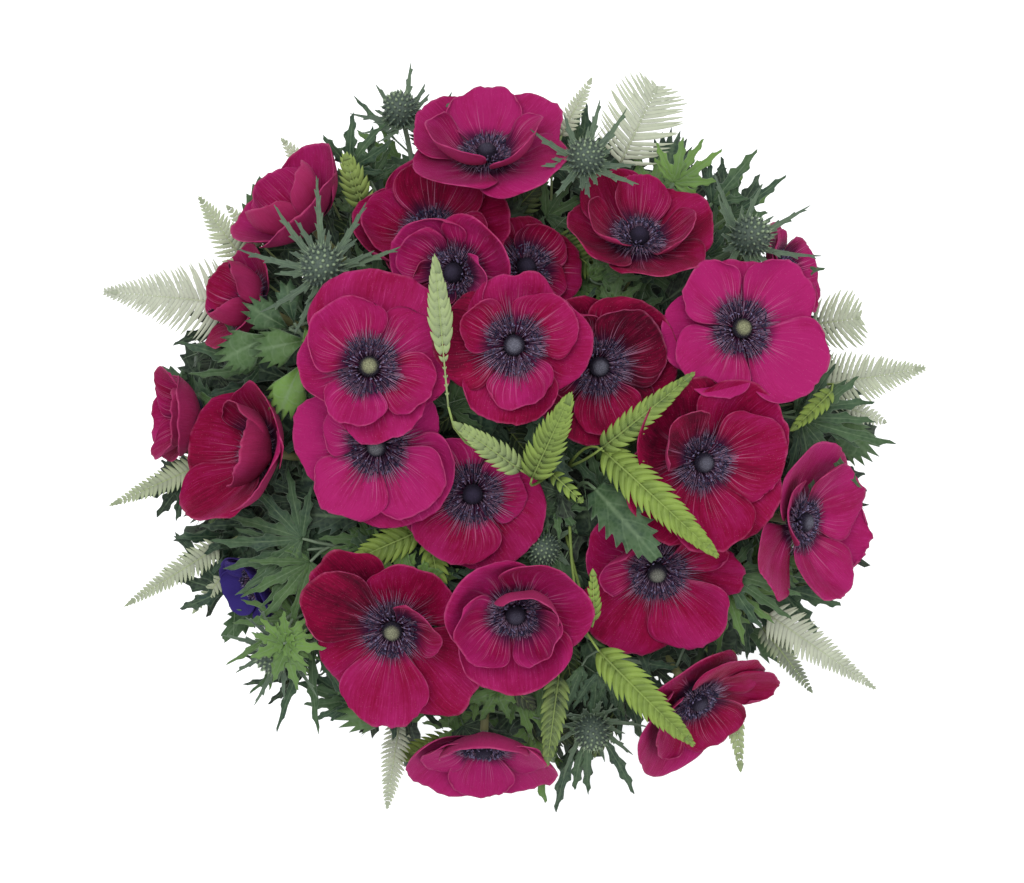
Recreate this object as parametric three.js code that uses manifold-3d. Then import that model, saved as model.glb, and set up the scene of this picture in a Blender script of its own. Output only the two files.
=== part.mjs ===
// A hand-tied posy of anemones with fern and sea holly. It stands by itself on its cut stems, which
// cross in a spiral at the tie. Millimetres and degrees, +Z up, with the middle of the stems' feet at
// the origin. Every flower, frond and spray is a solid of its own, from its foot to its tip.
import * as THREE from "three";
import Module from "manifold-3d";

const wasm = await Module();
wasm.setup();
const { Manifold, Mesh: SolidMesh } = wasm;

// ---------------------------------------------------------------- driving dimensions
const TIE_Z = 140; // height of the tie above the stems' feet
const STEM_R = 2.75; // from a stem's axis to its corners
const STEM_SIDES = 6;
const HEAD_STALK_R = 1.7;
const LEAFSTALK_W = 2.4;
const BRANCH_STEP = 4; // the branches leave a stalk this far apart, down from its fork
const BRANCH_BOW = 0.3; // as BOW, for the branches
const TWIST = 53; // how far a stem turns round the posy between the tie and its flower
// The stems' rings at the tie: how many stand in each, their radius there, and the slope that
// makes them spread towards the feet.
const RINGS = [
  { count: 1, radius: 0, slope: 0 },
  { count: 6, radius: 5.6, slope: 0.14 },
  { count: 12, radius: 11.3, slope: 0.28 },
  { count: 18, radius: 17.3, slope: 0.42 },
];
const FORK_LEAN = 1.25; // a forked stalk bends out sooner than its lean tells, so it stands further out
const BOW = 0.34; // how long a stem keeps its slope from the tie, as a share of the way to its flower
const STRAIGHT_TO = 10; // the stems run straight to this far above the tie
const TIE_GAP = 0.45;
const TIE_THICK = 3.4;
const TIE_TURNS = 2;
const TIE_SIDES = 16;

const PETAL_THICK = 0.8;
const LEAF_THICK = 0.8;
const PETAL_ROOT = 3; // the petals start this far from the flower's axis
const WIDEST = 0.6; // where a petal is widest, as a share of its length
const ROOT_WIDTH = 0.35; // its width at the root, as a share of its widest
const TIP_TAPER = 0.6; // how fast it narrows past its widest
const TIP_ROUNDING = 0.1; // how far the corners of its tip lie back, as a share of its length
const PETAL_HALF_ANGLE = 54; // a petal spreads no further than this to each side of its middle
const PETAL_LAP = 0.88; // the petals of a whorl fill this share of the circle, where they can
const FOLDED_TIP = 83; // a petal whose tip is steeper than this has one more row of points
const WHORL_GAP = 1.6; // the inner petals stand this far above the outer ones
const DISC_R = 15.5; // the dark middle, over its stamens
const DISC_RISE = 8; // from the petals' roots up to the middle's face
const CUP_DROP = 4; // from the petals' roots down to the stem's end
const SEAT_GAP = 0.3; // between a flower and the stem that carries it
const DISC_TEETH = 6;
const DISC_NOTCH = 0.78; // the notches between the stamens' teeth, as a share of their reach
const KNOB_RISE = 2.6; // from the stamens up to the top of the knob in their middle

const CONE_SIDES = 8; // round a sea holly's head
const CONE_TIERS = 4; // of florets, up its height
const CONE_TALL = 1.15; // its half height, as a share of its radius
const FLORET_OUT = 1.06; // the florets stand out to this share of the radius
const FLORET_IN = 0.88; // and the gaps between them lie at this share

const WHORLS = { inner: { rise: 5, lift: WHORL_GAP, reach: 0.9 }, outer: { rise: -4, lift: 0, reach: 1 } };

// ---------------------------------------------------------------- the flowers
// at: the middle of the dark disc. lean, toward: how far the flower leans from upright, and which
// way. reach: a petal's length. base, tip: how steeply the petals rise at their roots and tips.
// inner, outer: how many petals, and the first one's direction. bow: as BOW, on a stem that has to
// pass between others. odd: petals of another length or slope at the tip, such as one that bends
// over the disc, or one short of room.
const FLOWERS = [
  {
    at: [-13, 149, 290], lean: 44, toward: 92, bow: 0.39,
    reach: 39, base: 13, tip: 40, inner: [3, 100], outer: [4, 50],
  },
  {
    at: [-42, 109, 284], lean: 28, toward: 95,
    reach: 40, base: 13, tip: 42, inner: [3, 75], outer: [4, 0],
  },
  {
    at: [65, 106, 294], lean: 42, toward: 80,
    reach: 40, base: 13, tip: 48, inner: [3, 85], outer: [4, 20],
  },
  {
    at: [-30, 84, 320], lean: 22, toward: 200, bow: 0.36,
    reach: 34, base: 12, tip: 58, inner: [3, 80], outer: [3, 20],
    odd: { inner2: { tip: 96 } },
  },
  {
    at: [8, 90, 283], lean: 24, toward: 50,
    reach: 26, base: 12, tip: 40, inner: [3, 60], outer: [3, 0],
  },
  {
    at: [116, 57, 312], lean: 14, toward: 25,
    reach: 43, base: 12, tip: 20, inner: [4, 40], outer: [3, 90],
  },
  {
    at: [1, 47, 345], lean: 5, toward: 270,
    reach: 36, base: 14, tip: 22, inner: [3, 270], outer: [4, 90],
  },
  {
    at: [44, 37, 318], lean: 14, toward: 320,
    reach: 38, base: 10, tip: 28, inner: [3, 275], outer: [3, 30],
  },
  {
    at: [-70, 37, 341], lean: 8, toward: 60,
    reach: 41, base: 12, tip: 22, inner: [3, 265], outer: [4, 90],
  },
  {
    at: [-68, -3, 317], lean: 16, toward: 255,
    reach: 43, base: 12, tip: 14, inner: [3, 235], outer: [3, 180],
    odd: { inner2: { reach: 28 }, outer2: { reach: 34 } },
  },
  {
    at: [-20, -27, 298], lean: 8, toward: 270,
    reach: 34, base: 10, tip: 18, inner: [3, 250], outer: [3, 310],
    odd: { inner1: { reach: 25 }, outer1: { reach: 23 } },
  },
  {
    at: [97, -11, 313], lean: 22, toward: 330,
    reach: 43, base: 14, tip: 34, inner: [3, 0], outer: [4, 45],
  },
  {
    at: [153, -42, 270], lean: 52, toward: 352,
    reach: 42, base: 12, tip: 46, inner: [3, 280], outer: [3, 340],
  },
  {
    at: [74, -68, 291], lean: 26, toward: 272,
    reach: 42, base: 8, tip: 16, inner: [3, 295], outer: [3, 235],
    odd: { inner2: { reach: 32 } },
  },
  {
    at: [2, -88, 312], lean: 24, toward: 275,
    reach: 40, base: 12, tip: 56, inner: [3, 190], outer: [3, 270],
    odd: { inner1: { tip: 84 }, inner2: { tip: 92 } },
  },
  {
    at: [-61, -97, 296], lean: 18, toward: 262,
    reach: 48, base: 14, tip: 22, inner: [3, 270], outer: [4, 315],
    odd: { inner1: { tip: 34 } },
  },
  {
    at: [-15, -163, 254], lean: 62, toward: 268,
    reach: 42, base: 11, tip: 62, inner: [3, 270], outer: [3, 210],
  },
  {
    at: [98, -137, 262], lean: 56, toward: 305,
    reach: 43, base: 12, tip: 50, inner: [3, 305], outer: [3, 245],
  },
  {
    at: [-132, -4, 288], lean: 46, toward: 168,
    reach: 42, base: 10, tip: 78, inner: [3, 230], outer: [3, 290],
  },
  {
    at: [-172, 14, 251], lean: 70, toward: 178,
    reach: 32, base: 11, tip: 74, inner: [3, 240], outer: [2, 180],
  },
  {
    at: [-109, 117, 277], lean: 62, toward: 132, bow: 0.25,
    reach: 40, base: 12, tip: 58, inner: [3, 132], outer: [3, 72],
  },
  {
    at: [-138, 73, 268], lean: 60, toward: 155,
    reach: 32, base: 12, tip: 66, inner: [3, 155], outer: [2, 95],
  },
  {
    at: [146, 90, 247], lean: 60, toward: 20,
    reach: 26, base: 13, tip: 52, inner: [3, 30], outer: [2, 330],
  },
  {
    at: [-137, -77, 248], lean: 58, toward: 208,
    reach: 24, base: 11, tip: 74, inner: [3, 208], outer: [2, 150],
  },
];

// ---------------------------------------------------------------- the greenery
// A frond or spray is one stalk from its foot to a fork, and the blades and heads that branch off
// there. arch: how far a blade's middle stands over the line from its base to its tip. roll: its
// turn about its rib.
const FERNS = [
  {
    fork: [-72, 52, 216],
    blades: [
      { base: [-100, 134, 246], tip: [-121, 159, 250], width: 15, pairs: 4, arch: 3, roll: 0 },
      { base: [-142, 94, 250], tip: [-164, 128, 245], width: 17, pairs: 6, arch: 5, roll: 0 },
      { base: [-132, 104, 246], tip: [-150, 124, 248], width: 12, pairs: 4, arch: 3, roll: 0 },
      { base: [-140, 74, 240], tip: [-219, 80, 226], width: 36, pairs: 9, arch: 8, roll: 0 },
      { base: [-77, 121, 272], tip: [-85, 144, 290], width: 14, pairs: 4, arch: 2, roll: 20 },
    ],
  },
  {
    fork: [-66, -24, 222],
    blades: [
      { base: [-161, -11, 238], tip: [-213, -33, 230], width: 16, pairs: 7, arch: 5, roll: 0 },
      { base: [-156, -56, 236], tip: [-206, -88, 224], width: 14, pairs: 7, arch: 5, roll: 0 },
      { base: [-150, -66, 226], tip: [-171, -92, 222], width: 12, pairs: 4, arch: 3, roll: 0 },
      { base: [-48, -46, 284], tip: [-80, -60, 286], width: 24, pairs: 4, arch: 4, roll: 0 },
      { base: [-42, -50, 280], tip: [-36, -80, 286], width: 18, pairs: 3, arch: 4, roll: 0 },
    ],
  },
  {
    fork: [4, -70, 222],
    blades: [
      { base: [-60, -150, 232], tip: [-67, -197, 222], width: 17, pairs: 6, arch: 5, roll: 0 },
      { base: [24, -122, 272], tip: [18, -168, 266], width: 15, pairs: 6, arch: 4, roll: 0 },
      { base: [116, -132, 238], tip: [122, -176, 228], width: 13, pairs: 6, arch: 4, roll: 0 },
      { base: [137, -92, 250], tip: [193, -131, 228], width: 22, pairs: 7, arch: 6, roll: 0 },
      { base: [132, -98, 244], tip: [160, -134, 232], width: 14, pairs: 5, arch: 8, roll: 0 },
    ],
  },
  {
    fork: [78, 0, 224],
    blades: [
      { base: [164, 29, 248], tip: [219, 39, 238], width: 30, pairs: 8, arch: 6, roll: 0 },
      { base: [162, 60, 230], tip: [186, 61, 228], width: 20, pairs: 4, arch: 4, roll: 0 },
      { base: [177, 18, 240], tip: [199, 10, 234], width: 13, pairs: 4, arch: 3, roll: 0 },
      { base: [70, 46, 286], tip: [66, 62, 302], width: 12, pairs: 3, arch: 3, roll: 0 },
      { base: [165, 26, 272], tip: [143, 6, 286], width: 13, pairs: 5, arch: 4, roll: 0 },
    ],
  },
  {
    fork: [26, 72, 226],
    blades: [
      { base: [26, 160, 256], tip: [42, 191, 250], width: 12, pairs: 5, arch: 4, roll: 0 },
      { base: [66, 146, 252], tip: [82, 199, 240], width: 38, pairs: 9, arch: 6, roll: 0 },
      { base: [22, 106, 260], tip: [49, 84, 266], width: 24, pairs: 5, arch: 5, roll: 0 },
    ],
  },
  {
    fork: [28, -16, 276],
    blades: [
      { base: [44, -106, 302], tip: [93, -155, 290], width: 21, pairs: 8, arch: 12, roll: 0 },
      { base: [46, -5, 322], tip: [102, -57, 326], width: 21, pairs: 9, arch: 12, roll: 0 },
      { base: [45, -3, 324], tip: [90, 34, 330], width: 14, pairs: 8, arch: 10, roll: 0 },
      { base: [10, -18, 326], tip: [28, 22, 366], width: 19, pairs: 7, arch: 4, roll: 0 },
      { base: [4, -14, 326], tip: [-28, 9, 350], width: 13, pairs: 6, arch: 4, roll: 0 },
      { base: [20, -16, 320], tip: [35, -30, 326], width: 11, pairs: 3, arch: 4, roll: 0 },
      { base: [-31, 17, 350], tip: [-37, 88, 368], width: 11, pairs: 8, arch: 2, roll: 75 },
      { base: [41, -90, 312], tip: [40, -64, 328], width: 11, pairs: 4, arch: 3, roll: 25 },
    ],
  },
];

const SPRAYS = [
  {
    fork: [-44, 84, 236],
    bow: 0.28,
    heads: [
      { at: [-94, 87, 323], lean: 10, toward: 100, radius: 10.5, bract: 36, bracts: 8, turn: 20 },
      { at: [-58, 172, 266], lean: 40, toward: 105, radius: 9.5, bract: 24, bracts: 6, turn: 0 },
    ],
    leaves: [
      { base: [-84, 142, 268], tip: [-66, 168, 272], width: 18, pairs: 3, arch: 4, roll: 0 },
      { base: [-74, 136, 262], tip: [-86, 162, 262], width: 16, pairs: 3, arch: 4, roll: 0 },
      { base: [-102, 58, 300], tip: [-140, 52, 296], width: 22, pairs: 3, arch: 6, roll: 0 },
      { base: [-100, 52, 304], tip: [-124, 24, 306], width: 20, pairs: 3, arch: 5, roll: 0 },
      { base: [-102, 64, 294], tip: [-132, 74, 296], width: 18, pairs: 3, arch: 5, roll: 0 },
      { base: [-130, 40, 258], tip: [-170, 52, 256], width: 18, pairs: 3, arch: 5, roll: 0 },
    ],
  },
  {
    fork: [52, 78, 226],
    heads: [
      { at: [37, 143, 309], lean: 22, toward: 80, radius: 9.5, bract: 24, bracts: 7, turn: 75 },
      { at: [122, 105, 285], lean: 36, toward: 42, radius: 10.5, bract: 32, bracts: 7, turn: 35 },
    ],
    leaves: [
      { base: [84, 134, 268], tip: [102, 158, 266], width: 18, pairs: 2, arch: 4, roll: 0 },
      { base: [104, 124, 264], tip: [126, 152, 260], width: 18, pairs: 2, arch: 4, roll: 0 },
      { base: [114, 118, 262], tip: [142, 138, 258], width: 16, pairs: 2, arch: 4, roll: 0 },
    ],
  },
  {
    fork: [-62, -60, 224],
    heads: [
      { at: [-123, -111, 272], lean: 44, toward: 220, radius: 9, bract: 26, bracts: 7, turn: 0 },
    ],
    leaves: [
      { base: [-108, -50, 276], tip: [-152, -36, 266], width: 20, pairs: 3, arch: 5, roll: 0 },
      { base: [-106, -56, 270], tip: [-150, -60, 264], width: 20, pairs: 3, arch: 5, roll: 0 },
      { base: [-104, -62, 276], tip: [-128, -96, 276], width: 18, pairs: 3, arch: 5, roll: 0 },
      { base: [-112, -92, 262], tip: [-146, -112, 250], width: 15, pairs: 3, arch: 5, roll: 0 },
      { base: [-104, -104, 258], tip: [-124, -144, 240], width: 15, pairs: 3, arch: 5, roll: 0 },
    ],
  },
  {
    fork: [80, -36, 226],
    heads: [],
    leaves: [
      { base: [150, 12, 262], tip: [194, -6, 248], width: 20, pairs: 3, arch: 5, roll: 0 },
      { base: [148, 16, 260], tip: [186, 18, 252], width: 18, pairs: 3, arch: 5, roll: 0 },
      { base: [110, -68, 276], tip: [140, -92, 266], width: 18, pairs: 3, arch: 5, roll: 0 },
      { base: [110, -74, 268], tip: [124, -108, 258], width: 16, pairs: 3, arch: 5, roll: 0 },
    ],
  },
  {
    fork: [34, -42, 246],
    heads: [
      { at: [16, -55, 286], lean: 10, toward: 280, radius: 8.5, bract: 15, bracts: 6, turn: 30 },
      { at: [42, -152, 254], lean: 42, toward: 275, radius: 9.5, bract: 38, bracts: 7, turn: 10 },
    ],
    leaves: [
      { base: [42, -24, 310], tip: [72, -58, 326], width: 24, pairs: 4, arch: 6, roll: 0 },
    ],
  },
];

// ---------------------------------------------------------------- small helpers
const UP = new THREE.Vector3(0, 0, 1);
const rad = THREE.MathUtils.degToRad;
const vec = (x, y, z) => new THREE.Vector3(x, y, z);
const turned = (degrees) => vec(Math.cos(rad(degrees)), Math.sin(rad(degrees)), 0);
// An axis that leans from upright, towards a compass direction in the plan.
const leaning = (lean, toward) =>
  turned(toward).multiplyScalar(Math.sin(rad(lean))).addScaledVector(UP, Math.cos(rad(lean)));

function geometryOf(points, triangles) {
  const geometry = new THREE.BufferGeometry();
  const position = new Float32Array(points.flatMap((p) => [p.x, p.y, p.z]));
  geometry.setAttribute("position", new THREE.BufferAttribute(position, 3));
  return geometry.setIndex(triangles.flat());
}

function solidFrom(geometry) {
  return new Manifold(
    new SolidMesh({
      numProp: 3,
      vertProperties: new Float32Array(geometry.getAttribute("position").array),
      triVerts: new Uint32Array(geometry.index.array),
    }),
  );
}

// A closed skin over rings of points that all run the same way round, with a fan over each end.
function skin(rings) {
  const n = rings[0].length;
  const triangles = [];
  for (let r = 0; r + 1 < rings.length; r++)
    for (let i = 0; i < n; i++) {
      const [a, b] = [r * n + i, r * n + ((i + 1) % n)];
      triangles.push([a, b, b + n], [a, b + n, a + n]);
    }
  const last = (rings.length - 1) * n;
  for (let i = 1; i + 1 < n; i++) triangles.push([0, i + 1, i], [last, last + i, last + i + 1]);
  return solidFrom(geometryOf(rings.flat(), triangles));
}

// A round stalk through the given points. One that stands on the ground is cut level there, and
// its top is cut square to the given axis.
function tube(points, radius, sides, axis, onGround = false) {
  let side = null;
  const rings = points.map((p, i) => {
    const [before, after] = [points[Math.max(i - 1, 0)], points[Math.min(i + 1, points.length - 1)]];
    const along = i === points.length - 1 ? axis.clone() : after.clone().sub(before).normalize();
    side = side ?? vec(1, 0, 0).cross(along).normalize();
    side.addScaledVector(along, -side.dot(along)).normalize();
    const across = along.clone().cross(side);
    return Array.from({ length: sides }, (_, k) => {
      const a = (2 * Math.PI * k) / sides;
      const out = side.clone().multiplyScalar(Math.cos(a)).addScaledVector(across, Math.sin(a));
      const q = p.clone().addScaledVector(out, radius);
      return onGround && i === 0 ? q.addScaledVector(along, -q.z / along.z) : q;
    });
  });
  return skin(rings);
}

// The triangles between two rows of a blade, which have one, two or three points each.
function strip(a, b, first, second) {
  if (second === 1) return first === 2 ? [[a, a + 1, b]] : [[a, a + 1, b], [a + 1, a + 2, b]];
  if (second === 2) return [[a, a + 1, b + 1], [a, b + 1, b]];
  if (first === 2) return [[a, a + 1, b + 1], [a, b + 1, b], [a + 1, b + 2, b + 1]];
  return [[a, a + 1, b + 1], [a, b + 1, b], [a + 1, a + 2, b + 1], [a + 2, b + 2, b + 1]];
}

// A thin sheet over rows of points that run across it, open at its first row. Both faces are
// split alike, so that a waved sheet's faces never cross. Its first points are the first row's
// upper ones, and those from low on are the lower ones.
function sheet(rows, thick) {
  const middleOf = (row) => row[0].clone().add(row[row.length - 1]).multiplyScalar(0.5);
  const last = rows.length - 1;
  const [upper, lower, starts, triangles] = [[], [], [], []];
  rows.forEach((row, i) => {
    const along = middleOf(rows[Math.min(i + 1, last)]).sub(middleOf(rows[Math.max(i - 1, 0)]));
    starts.push(upper.length);
    row.forEach((point, j) => {
      const wide = row.length > 1 ? row : rows[i - 1];
      const [from, to] = row.length === 3 ? [Math.max(j - 1, 0), Math.min(j + 1, 2)] : [0, wide.length - 1];
      const normal = wide[to].clone().sub(wide[from]).cross(along).normalize();
      upper.push(point.clone().addScaledVector(normal, thick / 2));
      lower.push(point.clone().addScaledVector(normal, -thick / 2));
    });
  });
  const low = upper.length;
  for (let i = 0; i < last; i++)
    for (const [a, b, c] of strip(starts[i], starts[i + 1], rows[i].length, rows[i + 1].length))
      triangles.push([a, b, c], [low + a, low + c, low + b]);
  const rim = [];
  for (let i = 0; i < last; i++) rim.push(starts[i] + rows[i].length - 1);
  for (let j = rows[last].length - 1; j >= 0; j--) rim.push(starts[last] + j);
  for (let i = last - 1; i >= 0; i--) rim.push(starts[i]);
  for (let k = 0; k + 1 < rim.length; k++) {
    const [a, b] = [rim[k], rim[k + 1]];
    triangles.push([a, low + a, low + b], [a, low + b, b]);
  }
  return { points: [...upper, ...lower], triangles, low };
}

// A sheet that is closed at its first row of two points too.
function blade(rows, thick) {
  const { points, triangles, low } = sheet(rows, thick);
  return solidFrom(geometryOf(points, [...triangles, [0, low, low + 1], [0, low + 1, 1]]));
}

// The triangles between two rings of points round the upright axis, each with a number of points
// of its own. A ring is a list of point numbers in order round the axis.
function between(points, below, above) {
  const angle = (i) => (Math.atan2(points[i].y, points[i].x) + 2 * Math.PI) % (2 * Math.PI);
  const sorted = (ring) => [...ring].sort((a, b) => angle(a) - angle(b));
  const [low, high] = [sorted(below), sorted(above)];
  const at = (ring, k) => angle(ring[k % ring.length]) + 2 * Math.PI * Math.floor(k / ring.length);
  const triangles = [];
  for (let [i, j] = [0, 0]; i < low.length || j < high.length; ) {
    const [a, b] = [low[i % low.length], high[j % high.length]];
    const climb = i === low.length || (j < high.length && at(high, j + 1) < at(low, i + 1));
    if (climb) triangles.push([a, high[++j % high.length], b]);
    else triangles.push([a, low[++i % low.length], b]);
  }
  return triangles;
}

const union = (solids) => Manifold.union(solids);

// ---------------------------------------------------------------- the stems' spiral
function bezier(from, leaving, to, arriving, spread, steps) {
  const reach = from.distanceTo(to) * spread;
  const curve = new THREE.CubicBezierCurve3(
    from,
    from.clone().addScaledVector(leaving, reach),
    to.clone().addScaledVector(arriving, -reach),
    to,
  );
  return Array.from({ length: steps }, (_, k) => curve.getPoint((k + 1) / steps));
}

// Gives each stem a place at the tie: the steepest stems take the inner rings, and in a ring the
// stems keep the order of their heads round the posy, so that no two cross.
function placeAtTie(heads) {
  const angle = (p) => Math.atan2(p.y, p.x);
  const wrap = (a) => Math.abs(Math.atan2(Math.sin(a), Math.cos(a)));
  const lean = (h) => (Math.hypot(h.top.x, h.top.y) / (h.top.z - TIE_Z)) * (h.fork ? FORK_LEAN : 1);
  const byReach = [...heads].sort((a, b) => lean(a) - lean(b));
  let next = 0;
  for (const ring of RINGS) {
    const wanted = (h) => (angle(h.top) - rad(TWIST) + 4 * Math.PI) % (2 * Math.PI);
    const members = byReach.slice(next, next + ring.count).sort((a, b) => wanted(a) - wanted(b));
    next += members.length;
    const slot = (j) => (2 * Math.PI * j) / members.length;
    const miss = (shift) => members.reduce((sum, h, j) => sum + wrap(wanted(h) - slot(j) - shift), 0);
    const shifts = Array.from({ length: 72 }, (_, k) => rad(5 * k));
    const best = shifts.reduce((a, b) => (miss(b) < miss(a) ? b : a), 0);
    members.forEach((head, j) => {
      const a = slot(j) + best;
      head.tie = vec(ring.radius * Math.cos(a), ring.radius * Math.sin(a), TIE_Z);
      head.rise = vec(-ring.slope * Math.sin(a), ring.slope * Math.cos(a), 1);
    });
  }
}

function stalkPoints(head, steps) {
  const foot = head.tie.clone().addScaledVector(head.rise, -TIE_Z);
  const bend = head.tie.clone().addScaledVector(head.rise, STRAIGHT_TO);
  const leaving = head.rise.clone().normalize();
  return [foot, bend, ...bezier(bend, leaving, head.top, head.axis, head.bow ?? BOW, steps)];
}

const stalk = (head, steps) => tube(stalkPoints(head, steps), STEM_R, STEM_SIDES, head.axis, true);

// ---------------------------------------------------------------- an anemone
// A point of a petal: s runs from its root to its tip and u across it, from -1 to 1.
function petalPoint(petal, s, u) {
  const along = s * (1 - TIP_ROUNDING * u * u * s);
  const [e0, de] = [rad(petal.base), rad(petal.tip - petal.base) || 1e-6];
  const e = e0 + de * along;
  const out = PETAL_ROOT + (petal.reach * (Math.sin(e) - Math.sin(e0))) / de;
  const up = petal.lift - (petal.reach * (Math.cos(e) - Math.cos(e0))) / de;
  const past = (s - WIDEST) / (1 - WIDEST);
  const opening = ROOT_WIDTH + (1 - ROOT_WIDTH) * Math.sin((Math.PI / 2) * (s / WIDEST));
  const share = past < 0 ? opening : Math.sqrt(1 - TIP_TAPER * past * past);
  const a = rad(petal.toward + petal.spread * share * u);
  return vec(out * Math.cos(a), out * Math.sin(a), up);
}

function petalsOf(flower, name) {
  const whorl = WHORLS[name];
  const [count, first] = flower[name];
  return Array.from({ length: count }, (_, k) => ({
    toward: first + (360 / count) * k,
    spread: Math.min((PETAL_LAP * 180) / count, PETAL_HALF_ANGLE),
    reach: flower.reach * whorl.reach,
    base: flower.base + whorl.rise,
    tip: flower.tip + whorl.rise,
    lift: whorl.lift,
    ...flower.odd?.[name + k],
  }));
}

// Each petal grows out of a band round the cup: the inner whorl's band stands on the outer one's,
// and the dark middle of stamens on that.
function bloom(flower) {
  const [points, triangles] = [[], []];
  const ring = (count, radius, z, notch = radius) =>
    Array.from({ length: count }, (_, k) => {
      const a = (2 * Math.PI * k) / count;
      const r = k % 2 ? notch : radius;
      return points.push(vec(r * Math.cos(a), r * Math.sin(a), z)) - 1;
    });
  const foot = ring(STEM_SIDES, STEM_R, -CUP_DROP);
  for (let k = 1; k + 1 < STEM_SIDES; k++) triangles.push([foot[0], foot[k + 1], foot[k]]);
  let below = foot;
  for (const whorl of ["outer", "inner"]) {
    const [lower, upper] = [[], []];
    for (const petal of petalsOf(flower, whorl)) {
      const row = (s, across) => across.map((u) => petalPoint(petal, s, u));
      const shares = petal.tip > FOLDED_TIP ? [WIDEST / 2, WIDEST, 1] : [WIDEST, 1];
      const made = sheet([row(0, [1, -1]), ...shares.map((s) => row(s, [1, 0, -1]))], PETAL_THICK);
      const start = points.length;
      points.push(...made.points);
      triangles.push(...made.triangles.map((t) => t.map((i) => start + i)));
      upper.push(start + 1, start);
      lower.push(start + made.low + 1, start + made.low);
    }
    triangles.push(...between(points, below, lower));
    for (let k = 1; k < upper.length; k += 2) {
      const next = (k + 1) % upper.length;
      triangles.push([lower[k], lower[next], upper[next]], [lower[k], upper[next], upper[k]]);
    }
    below = upper;
  }
  const reach = DISC_R * (1.12 - flower.tip / 160); // a cupped flower holds its stamens close
  const stamens = ring(2 * DISC_TEETH, reach, DISC_RISE, reach * DISC_NOTCH);
  triangles.push(...between(points, below, stamens));
  const knob = points.push(vec(0, 0, DISC_RISE + KNOB_RISE)) - 1;
  stamens.forEach((a, k) => triangles.push([a, stamens[(k + 1) % stamens.length], knob]));
  const turn = new THREE.Quaternion().setFromUnitVectors(UP, flower.axis);
  const place = new THREE.Matrix4().compose(flower.root, turn, vec(1, 1, 1));
  return solidFrom(geometryOf(points.map((p) => p.applyMatrix4(place)), triangles));
}

// ---------------------------------------------------------------- fern and sea holly
// A leaf's rows of points: left edge, rib and right edge, with a single point at its tip. Wide rows
// are the teeth, swept towards the tip, and narrow rows the cuts between them. A flat strip, its
// own leafstalk, carries it from where it grows.
function leafRows(from, leaf, cut, sweep, halfWidth) {
  const [base, tip] = [vec(...leaf.base), vec(...leaf.tip)];
  const middlePoint = base.clone().add(tip).multiplyScalar(0.5).addScaledVector(UP, 2 * leaf.arch);
  const curve = new THREE.QuadraticBezierCurve3(base, middlePoint, tip);
  const steps = 2 * leaf.pairs;
  const length = base.distanceTo(tip);
  const arriving = curve.getTangent(0);
  const leaving = base.clone().sub(from).normalize().add(UP).normalize();
  const side = arriving.clone().cross(UP).normalize().multiplyScalar(LEAFSTALK_W / 2);
  const route = [from, ...bezier(from, leaving, base, arriving, BRANCH_BOW, 2)];
  const leafstalk = route.map((p) => [p.clone().sub(side), p.clone().add(side)]);
  const rows = Array.from({ length: steps }, (_, i) => {
    const k = i + 1;
    const t = k / steps;
    const rib = curve.getPoint(t);
    if (k === steps) return [rib];
    const along = curve.getTangent(t);
    const across = along.clone().cross(UP).normalize().applyAxisAngle(along, rad(leaf.roll));
    const tooth = k % 2 === 1;
    const half = (leaf.width / 2) * halfWidth(t) * (tooth ? 1 : cut);
    const forward = tooth ? (sweep * length) / steps : 0;
    const edge = (hand) => rib.clone().addScaledVector(across, hand * half).addScaledVector(along, forward);
    return [edge(-1), rib, edge(1)];
  });
  return [...leafstalk, ...rows];
}

// A fern's blade is widest near its base and runs out to a long tip. A sea holly's leaf is oval.
const fernOutline = (t) => Math.min(1, 0.8 + t) * (1 - 0.9 * t ** 1.6);
const hollyOutline = (t) => Math.sin(Math.PI * (0.18 + 0.76 * t) ** 0.8);
const fernRows = (from, leaf) => leafRows(from, leaf, 0.45, 0.9, fernOutline);
const hollyRows = (from, leaf) => leafRows(from, leaf, 0.5, 0.6, hollyOutline);

// A sea holly's head: a blunt cone covered in florets, raised from its surface, over a ruff of bracts.
function head(spec) {
  const turn = new THREE.Quaternion().setFromUnitVectors(UP, leaning(spec.lean, spec.toward));
  const place = new THREE.Matrix4().compose(vec(...spec.at), turn, vec(1, 1, 1));
  const rings = Array.from({ length: CONE_TIERS }, (_, i) => {
    const t = 0.12 + (0.78 * i) / (CONE_TIERS - 1); // from just over the cone's foot to its blunt top
    return Array.from({ length: CONE_SIDES }, (_, k) => {
      const a = (2 * Math.PI * (k + (i % 2) / 2)) / CONE_SIDES;
      const r = spec.radius * Math.sin(Math.PI * t) ** 0.7 * (k % 2 ? FLORET_IN : FLORET_OUT);
      return vec(r * Math.cos(a), r * Math.sin(a), -spec.radius * CONE_TALL * Math.cos(Math.PI * t));
    });
  });
  const bracts = Array.from({ length: spec.bracts }, (_, k) => {
    const way = turned(spec.turn + (360 / spec.bracts) * k);
    const across = vec(-way.y, way.x, 0);
    const long = spec.bract * (k % 2 ? 0.78 : 1);
    const foot = way.clone().multiplyScalar(spec.radius * 0.5).addScaledVector(UP, -spec.radius * 0.6);
    const at = (out, up) => foot.clone().addScaledVector(way, out * long).addScaledVector(UP, up * long);
    const row = (p, half) => [-half, half].map((h) => p.clone().addScaledVector(across, h));
    return blade([row(at(0, 0), 1.4), row(at(0.42, 0.06), 3.4), [at(0.86, 0.28)]], LEAF_THICK);
  });
  return union([skin(rings), ...bracts]).transform(place.elements);
}

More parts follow.
